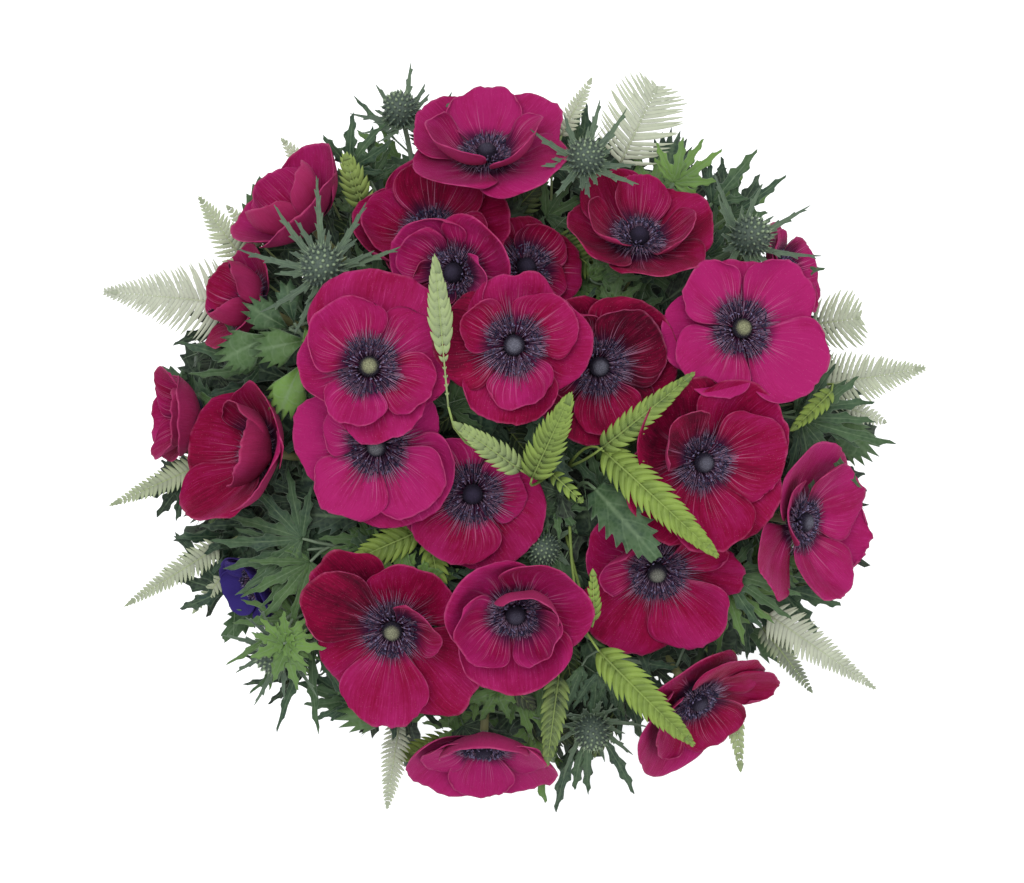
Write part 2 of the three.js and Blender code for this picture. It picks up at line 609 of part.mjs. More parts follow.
function green(plant) {
  const pieces = [stalk(plant, 2)];
  const [below, fork] = stalkPoints(plant, 2).slice(-2);
  const down = below.clone().sub(fork).normalize();
  let joints = 0;
  const joint = () => fork.clone().addScaledVector(down, 0.5 + BRANCH_STEP * joints++);
  for (const spec of plant.heads ?? []) {
    const axis = leaning(spec.lean, spec.toward);
    const seat = vec(...spec.at).addScaledVector(axis, -spec.radius * 0.8);
    const from = joint();
    const leaving = seat.clone().sub(from).normalize().add(UP).normalize();
    const points = [from, ...bezier(from, leaving, seat, axis, BRANCH_BOW, 2)];
    pieces.push(tube(points, HEAD_STALK_R, 4, axis), head(spec));
  }
  for (const leaf of plant.blades ?? []) pieces.push(blade(fernRows(joint(), leaf), LEAF_THICK));
  for (const leaf of plant.leaves ?? []) pieces.push(blade(hollyRows(joint(), leaf), LEAF_THICK));
  return union(pieces);
}

// ---------------------------------------------------------------- the tie
function tie() {
  const outerRing = RINGS[RINGS.length - 1];
  const inner = (outerRing.radius + STEM_R + TIE_GAP) / Math.cos(Math.PI / TIE_SIDES);
  const half = (TIE_TURNS * TIE_THICK) / 2;
  const profile = [new THREE.Vector2(inner, -half)];
  for (let k = 0; k < TIE_TURNS; k++) {
    const z = -half + TIE_THICK * k;
    profile.push(new THREE.Vector2(inner + TIE_THICK * 0.55, z));
    profile.push(new THREE.Vector2(inner + TIE_THICK, z + TIE_THICK / 2));
  }
  profile.push(new THREE.Vector2(inner + TIE_THICK * 0.55, half), new THREE.Vector2(inner, half));
  const rings = [...profile, profile[0]].map((p) =>
    Array.from({ length: TIE_SIDES }, (_, k) => {
      const a = (2 * Math.PI * k) / TIE_SIDES;
      return vec(p.x * Math.cos(a), p.x * Math.sin(a), TIE_Z + p.y);
    }),
  );
  const n = rings.length - 1;
  const triangles = [];
  for (let r = 0; r < n; r++)
    for (let k = 0; k < TIE_SIDES; k++) {
      const [a, b] = [r * TIE_SIDES + k, r * TIE_SIDES + ((k + 1) % TIE_SIDES)];
      const [c, d] = [((r + 1) % n) * TIE_SIDES + ((k + 1) % TIE_SIDES), ((r + 1) % n) * TIE_SIDES + k];
      triangles.push([a, b, c], [a, c, d]);
    }
  return solidFrom(geometryOf(rings.slice(0, n).flat(), triangles));
}

// ---------------------------------------------------------------- the posy
for (const flower of FLOWERS) {
  flower.axis = leaning(flower.lean, flower.toward);
  flower.root = vec(...flower.at).addScaledVector(flower.axis, -DISC_RISE);
  flower.top = flower.root.clone().addScaledVector(flower.axis, -CUP_DROP - SEAT_GAP);
}
for (const plant of [...FERNS, ...SPRAYS]) {
  plant.top = vec(...plant.fork);
  plant.axis = vec(plant.top.x, plant.top.y, 0).normalize().add(UP).normalize();
}
placeAtTie([...FLOWERS, ...FERNS, ...SPRAYS]);

const FINISH = {
  petal: { color: 0x9c1446, roughness: 0.7 },
  stem: { color: 0x5f8a3c, roughness: 0.6 },
  fern: { color: 0x6f9a3e, roughness: 0.65 },
  holly: { color: 0x4a6a5c, roughness: 0.7 },
  twine: { color: 0xb79a68, roughness: 0.9 },
};
const material = {};
for (const [name, look] of Object.entries(FINISH))
  material[name] = new THREE.MeshStandardMaterial({ ...look, metalness: 0 });

const two = (k) => String(k + 1).padStart(2, "0");
const pieces = [
  ...FLOWERS.map((f, k) => ({ name: `anemone_${two(k)}_bloom`, look: "petal", make: () => bloom(f) })),
  ...FLOWERS.map((f, k) => ({ name: `anemone_${two(k)}_stem`, look: "stem", make: () => stalk(f, 3) })),
  ...FERNS.map((f, k) => ({ name: `fern_frond_${k + 1}`, look: "fern", make: () => green(f) })),
  ...SPRAYS.map((f, k) => ({ name: `sea_holly_${k + 1}`, look: "holly", make: () => green(f) })),
  { name: "tie", look: "twine", make: tie },
];

const posy = new THREE.Group();
for (const piece of pieces) {
  const made = piece.make().getMesh();
  const geometry = new THREE.BufferGeometry();
  geometry.setAttribute("position", new THREE.BufferAttribute(Float32Array.from(made.vertProperties), 3));
  geometry.setIndex(new THREE.BufferAttribute(Uint32Array.from(made.triVerts), 1));
  geometry.computeVertexNormals();
  const mesh = new THREE.Mesh(geometry, material[piece.look]);
  mesh.name = piece.name;
  posy.add(mesh);
}

export default posy;
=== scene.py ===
"""Dresses a hand-tied posy of anemones, fern and sea holly: fine petals, stamens, leaves and stems
are built around the posy's solid model, and stand in a pale studio under a camera that looks down.
"""

import math
import random
from functools import lru_cache

import bmesh
import bpy
from bpy.props import FloatProperty, FloatVectorProperty, IntProperty, PointerProperty
from bpy.types import Operator, Panel, PropertyGroup
from mathutils import Matrix, Quaternion, Vector, noise


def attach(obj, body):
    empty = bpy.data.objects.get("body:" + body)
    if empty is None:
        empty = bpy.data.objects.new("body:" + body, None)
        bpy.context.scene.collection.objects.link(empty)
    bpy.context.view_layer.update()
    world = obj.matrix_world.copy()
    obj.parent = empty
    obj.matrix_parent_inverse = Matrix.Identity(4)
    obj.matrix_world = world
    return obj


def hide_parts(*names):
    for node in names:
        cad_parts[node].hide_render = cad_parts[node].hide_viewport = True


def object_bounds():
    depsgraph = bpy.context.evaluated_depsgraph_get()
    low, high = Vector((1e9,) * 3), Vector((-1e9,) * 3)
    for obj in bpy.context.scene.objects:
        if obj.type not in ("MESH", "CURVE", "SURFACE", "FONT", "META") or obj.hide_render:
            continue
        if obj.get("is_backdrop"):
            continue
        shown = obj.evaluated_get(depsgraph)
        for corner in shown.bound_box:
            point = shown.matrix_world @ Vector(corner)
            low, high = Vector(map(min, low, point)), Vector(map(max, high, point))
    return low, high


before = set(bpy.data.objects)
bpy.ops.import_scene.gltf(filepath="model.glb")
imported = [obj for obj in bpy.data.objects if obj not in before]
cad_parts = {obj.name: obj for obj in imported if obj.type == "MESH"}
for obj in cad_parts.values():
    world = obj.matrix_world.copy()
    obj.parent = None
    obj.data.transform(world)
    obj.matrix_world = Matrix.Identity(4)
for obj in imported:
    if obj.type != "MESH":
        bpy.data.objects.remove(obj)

bl_info = {
    "name": "Anemone posy",
    "version": (1, 0, 0),
    "blender": (4, 5, 0),
    "location": "View3D > Sidebar > Posy",
    "description": "Builds a hand-tied posy of anemones with fern and sea holly",
    "category": "Object",
}

CAD_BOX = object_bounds()
BODY = "root"
MM = 0.001
UP = Vector((0, 0, 1))

# ------------------------------------------------------------------ the posy's sizes, in mm
TIE_Z = 140
STRAIGHT_TO = 10  # a stem is straight from its foot to this far above the tie
TWIST = 53  # the degrees that a stem goes round the posy between the tie and its flower
RINGS = [  # of stems at the tie. slope: how far they slant along the ring for each mm up
    dict(count=1, radius=0.0, slope=0.0),
    dict(count=6, radius=5.6, slope=0.14),
    dict(count=12, radius=11.3, slope=0.28),
    dict(count=18, radius=17.3, slope=0.42),
]
RING_SHIFT = 5  # the degrees between two turns of a ring that are tried
FORK_LEAN = 1.25  # how much more than a flower a fork counts when stems are sorted into rings
BOW = 0.34  # how far a stem's curve is held straight at both ends, as a share of its length
BRANCH_BOW = 0.3
BRANCH_STEP = 4  # between the places where branches leave a stalk
TIE_THICK = 3.4
TIE_TURNS = 2
TIE_GAP = 0.45  # between the outer stems and the twine
TIE_PITCH = 0.55  # how far one turn climbs, as a share of the twine's thickness
STRANDS = 3
STRAND_R = 0.95
STRAND_OUT = 0.8  # from the twine's middle to a strand's
STRAND_TWISTS = 22
LEAF_THICK = 0.28
LEAST_LEAFLET = 1.4
LOBE_SHARE = 0.36  # the width of one lobe, as a share of a divided leaf's
PETAL_ROOT = 3  # from the flower's axis to a petal's root
PETAL_FOOT = 0.62  # the width of a petal's root, as a share of its greatest width
WIDEST = 0.6  # where a petal is widest, as a share of its length
MOST_SPREAD = 76  # the degrees that half a petal spans at most
WHORL_GAP = 1.6
DISC_R = 15.5  # the dark disc of boss and stamens
DISC_RISE = 8  # from the flower's root, where its petals meet, to the top of the disc
CUP_DROP = 4  # from the root down to the foot of the flower's cup
SEAT_GAP = 0.3  # between the cup and the stem's end
BOSS_UP = 5.6  # the middle of the boss over the flower's root
BOSS_R = 4.9
CARPEL_OUT = 4.8  # from the middle of the boss to a carpel's
CARPELS = 150
ANTHER_RING = 5.6  # the radius of the innermost anthers
ANTHER_UP = 8.4
FLORETS = 105
GOLDEN = 2.39996  # the radians from one point to the next on an even spiral
WHORLS = {
    "outer": dict(rise=-4, lift=0.0, reach=1.0),
    "inner": dict(rise=5, lift=WHORL_GAP, reach=0.9),
}
SEEDS = {"anemones": 100, "ferns": 200, "sea_holly": 300, "filling": 7}

# How many filling leaves and tendrils there are, and how far from the posy's middle they reach.
FILLING = {"upper": (240, 180), "lower": (150, 160), "tendrils": (70, 176)}

# at, lean, toward, reach, base, tip, inner, outer, bow: as in the solid model, apart from the tip of
# number 21, which is more closed here. tone: from deep crimson, 0, to pink, 1; below 0 it paints shade
# on a flower that lies in shadow. A petal's shade adds to the tone: a random step, and in odd, lower
# values that paint shade on petals in shadow, or higher ones for paler petals. boss: from dark plum, 0,
# to pale green, 1. grow: how much longer its petals are than reach says. violet: 1 where it is
# violet-blue. odd: what single petals change.
FLOWERS = [
    dict(at=(-13, 149, 290), lean=44, toward=92, reach=39, base=13, tip=40,
         inner=(3, 100), outer=(4, 50), bow=0.39, tone=0.75, boss=0.2, grow=1.08,
         odd={"inner0": dict(spread=50), "inner1": dict(toward=205, tip=78, shade=-0.1),
              "inner2": dict(toward=335, tip=80, shade=-0.1)}),
    dict(at=(-42, 109, 284), lean=28, toward=95, reach=40, base=13, tip=42,
         inner=(3, 75), outer=(4, 0), tone=0.1, boss=0.2,
         odd={"inner0": dict(shade=-0.2), "outer3": dict(shade=-0.5)}),
    dict(at=(65, 106, 294), lean=42, toward=80, reach=40, base=13, tip=48,
         inner=(3, 85), outer=(4, 20), tone=-0.1, boss=0.0,
         odd={"inner0": dict(spread=44, shade=0.2, curl=1.2), "inner1": dict(toward=196, tip=62, spread=52),
              "inner2": dict(toward=340, tip=66, spread=48), "outer1": dict(toward=118, spread=50)}),
    dict(at=(-30, 84, 320), lean=22, toward=200, reach=34, base=12, tip=58,
         inner=(3, 80), outer=(3, 20), bow=0.36, tone=0.45, boss=0.1,
         odd={"inner0": dict(toward=150, spread=50), "inner1": dict(toward=215, reach=22, shade=-0.5),
              "inner2": dict(toward=352, base=30, tip=70, reach=37, spread=46, shade=0.4),
              "outer2": dict(shade=-0.6)}),
    dict(at=(8, 90, 283), lean=24, toward=50, reach=26, base=12, tip=40,
         inner=(3, 60), outer=(3, 0), tone=0.1, boss=0.1),
    dict(at=(116, 57, 312), lean=14, toward=25, reach=43, base=12, tip=20,
         inner=(4, 40), outer=(3, 90), tone=0.85, boss=1.0,
         odd={"inner0": dict(toward=46, spread=47, reach=41), "inner1": dict(toward=135, spread=42, reach=37),
              "inner2": dict(toward=226, reach=40, spread=48), "inner3": dict(toward=322, reach=45, spread=47),
              "outer0": dict(reach=33), "outer1": dict(toward=190, reach=40, spread=46, shade=0.15),
              "outer2": dict(toward=300, reach=36, spread=38)}),
    dict(at=(1, 47, 345), lean=5, toward=270, reach=36, base=14, tip=22,
         inner=(3, 270), outer=(4, 90), tone=0.15, boss=0.6,
         odd={"inner0": dict(toward=285, reach=30, spread=50, shade=0.3), "inner1": dict(toward=40, spread=56),
              "inner2": dict(toward=152, reach=29, spread=42, flare=-2, tip=34), "outer1": dict(shade=-0.4)}),
    dict(at=(44, 37, 318), lean=14, toward=320, reach=38, base=10, tip=28,
         inner=(3, 275), outer=(3, 30), tone=-0.5, boss=0.5,
         odd={"inner0": dict(shade=0.35, spread=48), "inner1": dict(shade=-0.15), "inner2": dict(shade=0.1)}),
    dict(at=(-70, 37, 341), lean=8, toward=60, reach=41, base=12, tip=22,
         inner=(3, 265), outer=(4, 90), tone=0.6, boss=1.0,
         odd={"inner0": dict(toward=248, reach=31, spread=46, shade=0.1, flare=0),
              "inner1": dict(toward=338, reach=33, spread=42, flare=0),
              "inner2": dict(toward=128, reach=36, spread=62, base=20, tip=30, shade=-0.15),
              "outer0": dict(toward=78, reach=47, spread=74), "outer1": dict(toward=165, reach=33),
              "outer2": dict(toward=292, reach=36, shade=-0.1), "outer3": dict(toward=15, reach=39)}),
    dict(at=(-68, -3, 317), lean=16, toward=255, reach=43, base=12, tip=14,
         inner=(3, 235), outer=(3, 180), tone=0.8, boss=0.7,
         odd={"inner0": dict(toward=238, spread=47, reach=39), "inner1": dict(toward=318, spread=48, reach=39),
              "inner2": dict(reach=28, toward=130), "outer0": dict(toward=170, reach=40, spread=54),
              "outer2": dict(reach=34)}),
    dict(at=(-20, -27, 298), lean=8, toward=270, reach=34, base=10, tip=18,
         inner=(3, 250), outer=(3, 310), tone=0.4, boss=0.0,
         odd={"inner0": dict(reach=36), "inner1": dict(reach=25), "outer0": dict(reach=38),
              "outer1": dict(reach=23)}),
    dict(at=(97, -11, 313), lean=22, toward=330, reach=43, base=14, tip=34,
         inner=(3, 0), outer=(4, 45), tone=-0.1, boss=0.4, grow=1.06,
         odd={"inner0": dict(toward=12, spread=62), "inner1": dict(toward=140, spread=44, tip=58, shade=-0.25),
              "inner2": dict(toward=265, reach=46, spread=52), "outer1": dict(shade=-0.3),
              "outer2": dict(toward=215, shade=-0.2)}),
    dict(at=(153, -42, 270), lean=52, toward=352, reach=42, base=12, tip=46,
         inner=(3, 280), outer=(3, 340), tone=0.6, boss=0.5,
         odd={"inner0": dict(reach=44, spread=50), "inner2": dict(tip=36, spread=50, reach=32),
              "outer0": dict(reach=50, spread=36, taper=0.8),
              "outer2": dict(toward=212, reach=54, tip=26, spread=34)}),
    dict(at=(74, -68, 291), lean=26, toward=272, reach=42, base=8, tip=16,
         inner=(3, 295), outer=(3, 235), tone=0.15, boss=0.8,
         odd={"inner0": dict(toward=306, reach=44, spread=46), "inner1": dict(toward=30, reach=38, spread=27),
              "inner2": dict(toward=160, reach=33, tip=58, spread=42, shade=0.2),
              "outer0": dict(toward=240, reach=47, spread=48, lift=1.2),
              "outer1": dict(toward=355, reach=42, spread=34)}),
    dict(at=(2, -88, 312), lean=24, toward=275, reach=40, base=12, tip=56,
         inner=(3, 190), outer=(3, 270), tone=0.5, boss=0.2,
         odd={"inner0": dict(toward=200), "inner1": dict(tip=84, toward=325, reach=32),
              "inner2": dict(tip=96, spread=66), "outer0": dict(tip=50)}),
    dict(at=(-61, -97, 296), lean=18, toward=262, reach=48, base=14, tip=22,
         inner=(3, 270), outer=(4, 315), tone=0.15, boss=0.9,
         odd={"inner0": dict(toward=262, reach=47, spread=44, shade=0.2),
              "inner1": dict(toward=25, reach=34, tip=84, spread=58),
              "inner2": dict(toward=150, reach=50, spread=36, shade=-0.55, curl=1.8),
              "outer0": dict(toward=322, reach=53, spread=46), "outer1": dict(toward=60, reach=38),
              "outer2": dict(toward=135, reach=50, spread=38, shade=-0.5), "outer3": dict(toward=216, reach=38)}),
    dict(at=(-15, -163, 254), lean=62, toward=268, reach=42, base=11, tip=62,
         inner=(3, 270), outer=(3, 210), tone=0.95, boss=0.1,
         odd={"outer2": dict(tip=60, spread=76, reach=36), "inner0": dict(shade=-0.1, tip=44, reach=37, spread=46),
              "inner1": dict(toward=10, tip=34, reach=32), "inner2": dict(toward=170, tip=34, reach=32),
              "outer0": dict(toward=216, tip=46, reach=42), "outer1": dict(toward=324, tip=46, reach=42)}),
    dict(at=(98, -137, 262), lean=56, toward=305, reach=43, base=12, tip=50,
         inner=(3, 305), outer=(3, 245), tone=0.25, boss=0.2,
         odd={"inner0": dict(shade=-0.2, reach=32, spread=60), "inner2": dict(toward=195, tip=50, spread=56),
              "inner1": dict(toward=62, reach=38, tip=22, spread=60),
              "outer0": dict(toward=218, reach=46, shade=0.2),
              "outer1": dict(toward=14, reach=44, spread=38, round=0.3),
              "outer2": dict(toward=118, tip=16, reach=36)}),
    dict(at=(-132, -4, 288), lean=46, toward=168, reach=42, base=10, tip=78,
         inner=(3, 230), outer=(3, 290), tone=-0.05, boss=0.1,
         odd={"inner0": dict(toward=246, reach=50, tip=70, spread=56),
              "inner1": dict(toward=340, tip=108, reach=42, spread=70),
              "inner2": dict(toward=70, tip=100, reach=36), "outer0": dict(toward=300, reach=46, shade=0.3),
              "outer2": dict(tip=66)}),
    dict(at=(-172, 14, 251), lean=70, toward=178, reach=32, base=11, tip=74,
         inner=(3, 240), outer=(2, 180), tone=0.15, boss=0.1),
    dict(at=(-109, 117, 277), lean=62, toward=132, reach=40, base=12, tip=70,
         inner=(3, 132), outer=(3, 72), bow=0.25, tone=0.45, boss=0.2,
         odd={"inner1": dict(toward=250, tip=104, shade=-0.2), "inner2": dict(toward=8, tip=112)}),
    dict(at=(-138, 73, 268), lean=60, toward=155, reach=32, base=12, tip=66,
         inner=(3, 155), outer=(2, 95), tone=0.1, boss=0.2,
         odd={"inner1": dict(tip=112, reach=30), "inner2": dict(tip=116, reach=32)}),
    dict(at=(146, 90, 247), lean=60, toward=20, reach=26, base=13, tip=52,
         inner=(3, 30), outer=(2, 330), tone=0.5, boss=0.2),
    dict(at=(-137, -77, 248), lean=58, toward=208, reach=24, base=11, tip=74,
         inner=(3, 208), outer=(2, 150), tone=0.4, boss=0.2, violet=1.0),
]

# base, tip, width, arch, roll: near those of the solid model. tone: from deep green, 0, to
# yellow-green, 1. pale: how far it is bleached to sage. lace: how deeply its leaflets are cut. taper:
# a blade narrows evenly to its tip at 1 and stays wide for longer above it. late: the share of the
# rib that comes before the full leaflets. pitch: the distance between leaflets.
FERNS = [
    dict(fork=(-72, 52, 216), blades=[
        dict(base=(-100, 134, 246), tip=(-121, 159, 250), width=15, arch=3, tone=0.7, pale=0.75, lace=0.5),
        dict(base=(-140, 94, 250), tip=(-165, 129, 245), width=26, arch=5, tone=0.8, pale=0.6, lace=0.5, taper=1.0),
        dict(base=(-132, 104, 246), tip=(-150, 124, 248), width=12, arch=3, tone=0.8, pale=0.6, lace=0.4),
        dict(base=(-140, 72, 240), tip=(-218, 80, 226), width=60, arch=8, tone=0.3, pale=0.85, lace=0.5, taper=0.85),
        dict(base=(-77, 121, 272), tip=(-85, 146, 290), width=20, arch=2, tone=1.0, pale=0.1, lace=0),
    ]),
    dict(fork=(-66, -24, 222), blades=[
        dict(base=(-161, -11, 238), tip=(-214, -34, 230), width=21, arch=5, tone=0.7, pale=0.5, lace=0.3, taper=1.1),
        dict(base=(-156, -56, 236), tip=(-207, -88, 224), width=20, arch=5, tone=0.6, pale=0.6, lace=0.4, taper=1.1),
        dict(base=(-150, -66, 226), tip=(-171, -92, 222), width=12, arch=3, tone=0.8, pale=0.6, lace=0.4),
        dict(base=(-48, -46, 284), tip=(-80, -60, 286), width=24, arch=4, tone=0.9, pale=0.0, lace=0),
        dict(base=(-42, -50, 280), tip=(-36, -80, 286), width=18, arch=4, tone=0.9, pale=0.0, lace=0),
    ]),
    dict(fork=(4, -70, 222), blades=[
        dict(base=(-60, -150, 232), tip=(-67, -197, 222), width=17, arch=5, tone=0.5, pale=0.7, lace=0.5),
        dict(base=(24, -122, 272), tip=(18, -168, 266), width=18, arch=4, tone=0.55, pale=0.1, lace=0),
        dict(base=(116, -132, 238), tip=(122, -176, 228), width=13, arch=4, tone=0.9, pale=0.35, lace=0),
        dict(base=(135, -91, 250), tip=(194, -132, 228), width=30, arch=6, tone=0.4, pale=0.75, lace=0.3, taper=0.9),
        dict(base=(132, -98, 244), tip=(160, -134, 232), width=14, arch=8, tone=0.1, pale=0.3, lace=0.2),
    ]),
    dict(fork=(78, 0, 224), blades=[
        dict(base=(160, 29, 248), tip=(219, 39, 238), width=42, arch=6, tone=0.6, pale=0.7, lace=0.5, taper=0.9),
        dict(base=(160, 62, 230), tip=(186, 66, 228), width=34, arch=4, tone=0.7, pale=0.7, lace=0.5, taper=4),
        dict(base=(177, 18, 240), tip=(199, 10, 234), width=13, arch=3, tone=0.4, pale=0.8, lace=0.5),
        dict(base=(70, 46, 286), tip=(66, 62, 302), width=12, arch=3, tone=0.9, pale=0.3, lace=0),
        dict(base=(165, 26, 272), tip=(143, 6, 286), width=13, arch=4, tone=1.0, pale=0.0, lace=0),
    ]),
    dict(fork=(26, 72, 226), blades=[
        dict(base=(26, 160, 256), tip=(42, 191, 250), width=12, arch=4, tone=0.7, pale=0.75, lace=0.4),
        dict(base=(57, 146, 252), tip=(77, 188, 240), width=44, arch=6, tone=0.6, pale=0.8, lace=0.6, taper=5),
        dict(base=(22, 106, 260), tip=(49, 84, 266), width=24, arch=5, tone=0.5, pale=0.0, lace=0.2),
    ]),
    dict(fork=(28, -16, 276), blades=[
        dict(base=(44, -106, 302), tip=(93, -155, 290), width=25, arch=12, tone=0.95, pale=0.0, lace=0),
        dict(base=(46, -5, 322), tip=(102, -57, 326), width=26, arch=12, tone=1.0, pale=0.0, lace=0),
        dict(base=(45, -3, 324), tip=(90, 34, 330), width=18, arch=10, tone=0.75, pale=0.05, lace=0),
        dict(base=(10, -18, 326), tip=(28, 22, 366), width=24, arch=4, tone=0.9, pale=0.05, lace=0),
        dict(base=(4, -14, 326), tip=(-28, 9, 350), width=17, arch=4, tone=0.85, pale=0.2, lace=0),
        dict(base=(20, -16, 320), tip=(35, -30, 326), width=11, arch=4, tone=0.8, pale=0.0, lace=0),
        dict(base=(-31, 17, 350), tip=(-37, 88, 368), width=24, arch=2, roll=15, tone=0.9, pale=0.3, lace=0,
             late=0.25, pitch=4.2),
        dict(base=(41, -90, 312), tip=(40, -64, 328), width=11, arch=3, roll=25, tone=1.0, pale=0.0, lace=0),
    ]),
]

# Of a head, bract is the length of its longest bracts, bracts is how many there are in its ruff, turn
# is where the first one points, and missing is the number of one that isn't there. The leaves' tone:
# from blue-green, 0, to bright green, 1. kind: a fan with spines, a leaf divided into lobes, or an
# oval with teeth. fan: the degrees to each side that the lobes of a divided leaf reach.
SPRAYS = [
    dict(fork=(-44, 84, 236), bow=0.28, heads=[
        dict(at=(-94, 87, 323), lean=10, toward=100, radius=11, bract=40, bracts=9, turn=20),
        dict(at=(-58, 172, 266), lean=40, toward=105, radius=9.5, bract=26, bracts=8, turn=0),
    ], leaves=[
        dict(base=(-84, 142, 268), tip=(-66, 168, 272), width=18, arch=4, tone=0.1, kind="divided", lobes=5, fan=60),
        dict(base=(-74, 136, 262), tip=(-86, 162, 262), width=16, arch=4, tone=0.15, kind="divided"),
        dict(base=(-121, 54, 300), tip=(-147, 41, 295), width=23, arch=5, tone=0.28, kind="fan"),
        dict(base=(-103, 51, 307), tip=(-129, 45, 305), width=21, arch=5, tone=0.38, kind="fan"),
        dict(base=(-106, 39, 305), tip=(-117, 13, 303), width=21, arch=5, tone=0.9, kind="fan"),
        dict(base=(-113, 57, 299), tip=(-134, 69, 297), width=18, arch=5, tone=0.15, kind="fan"),
        dict(base=(-110, 60, 302), tip=(-114, 81, 304), width=12, arch=3, tone=0.1, kind="fan"),
        dict(base=(-104, 31, 305), tip=(-103, 56, 308), width=8, arch=3, tone=1.0, kind="oval"),
        dict(base=(-130, 40, 258), tip=(-170, 52, 256), width=18, arch=5, tone=0.15, kind="divided", lobes=5, fan=65),
    ]),
    dict(fork=(52, 78, 226), heads=[
        dict(at=(37, 143, 309), lean=22, toward=80, radius=9.5, bract=28, bracts=9, turn=75),
        dict(at=(122, 105, 285), lean=36, toward=42, radius=10.5, bract=34, bracts=9, turn=30, missing=4),
    ], leaves=[
        dict(base=(84, 134, 268), tip=(102, 158, 266), width=18, arch=4, tone=0.9, kind="divided"),
        dict(base=(104, 124, 264), tip=(126, 152, 260), width=18, arch=4, tone=0.1, kind="divided", lobes=3, fan=40),
        dict(base=(114, 118, 262), tip=(142, 138, 258), width=16, arch=4, tone=0.1, kind="divided", lobes=3, fan=40),
    ]),
    dict(fork=(-62, -60, 224), heads=[
        dict(at=(-123, -111, 272), lean=44, toward=220, radius=9, bract=28, bracts=9, turn=0),
    ], leaves=[
        dict(base=(-108, -50, 276), tip=(-152, -36, 266), width=19, arch=5, tone=0.12, kind="divided"),
        dict(base=(-106, -56, 270), tip=(-150, -60, 264), width=19, arch=5, tone=0.15, kind="divided"),
        dict(base=(-104, -62, 276), tip=(-128, -96, 276), width=17, arch=5, tone=0.28, kind="divided"),
        dict(base=(-112, -92, 262), tip=(-146, -112, 250), width=15, arch=5, tone=0.5, kind="divided"),
        dict(base=(-104, -104, 258), tip=(-124, -144, 240), width=15, arch=5, tone=0.15, kind="divided"),
        dict(base=(-115, -103, 287), tip=(-96, -108, 289), width=18, arch=3, tone=1.0, kind="divided",
             lobes=5, fan=60),
        dict(base=(-115, -101, 287), tip=(-108, -84, 290), width=18, arch=3, tone=0.9, kind="divided",
             lobes=4, fan=50),
        dict(base=(-117, -103, 287), tip=(-136, -97, 285), width=18, arch=3, tone=0.85, kind="divided",
             lobes=5, fan=60),
        dict(base=(-115, -106, 287), tip=(-111, -126, 286), width=18, arch=3, tone=0.7, kind="divided",
             lobes=5, fan=60),
    ]),
    dict(fork=(80, -36, 226), heads=[], leaves=[
        dict(base=(150, 12, 262), tip=(194, -6, 248), width=20, arch=5, tone=0.1, kind="divided"),
        dict(base=(148, 16, 260), tip=(186, 18, 252), width=18, arch=5, tone=0.15, kind="divided"),
        dict(base=(110, -68, 276), tip=(140, -92, 266), width=18, arch=5, tone=0.2, kind="divided"),
        dict(base=(110, -74, 268), tip=(124, -108, 258), width=16, arch=5, tone=0.6, kind="divided"),
    ]),
    dict(fork=(34, -42, 246), heads=[
        dict(at=(16, -55, 286), lean=10, toward=280, radius=8.5, bract=15, bracts=6, turn=30),
        dict(at=(42, -152, 254), lean=42, toward=275, radius=9.5, bract=26, bracts=9, turn=10),
    ], leaves=[
        dict(base=(42, -24, 310), tip=(72, -58, 326), width=24, arch=6, tone=0.1, kind="oval"),
    ]),
]

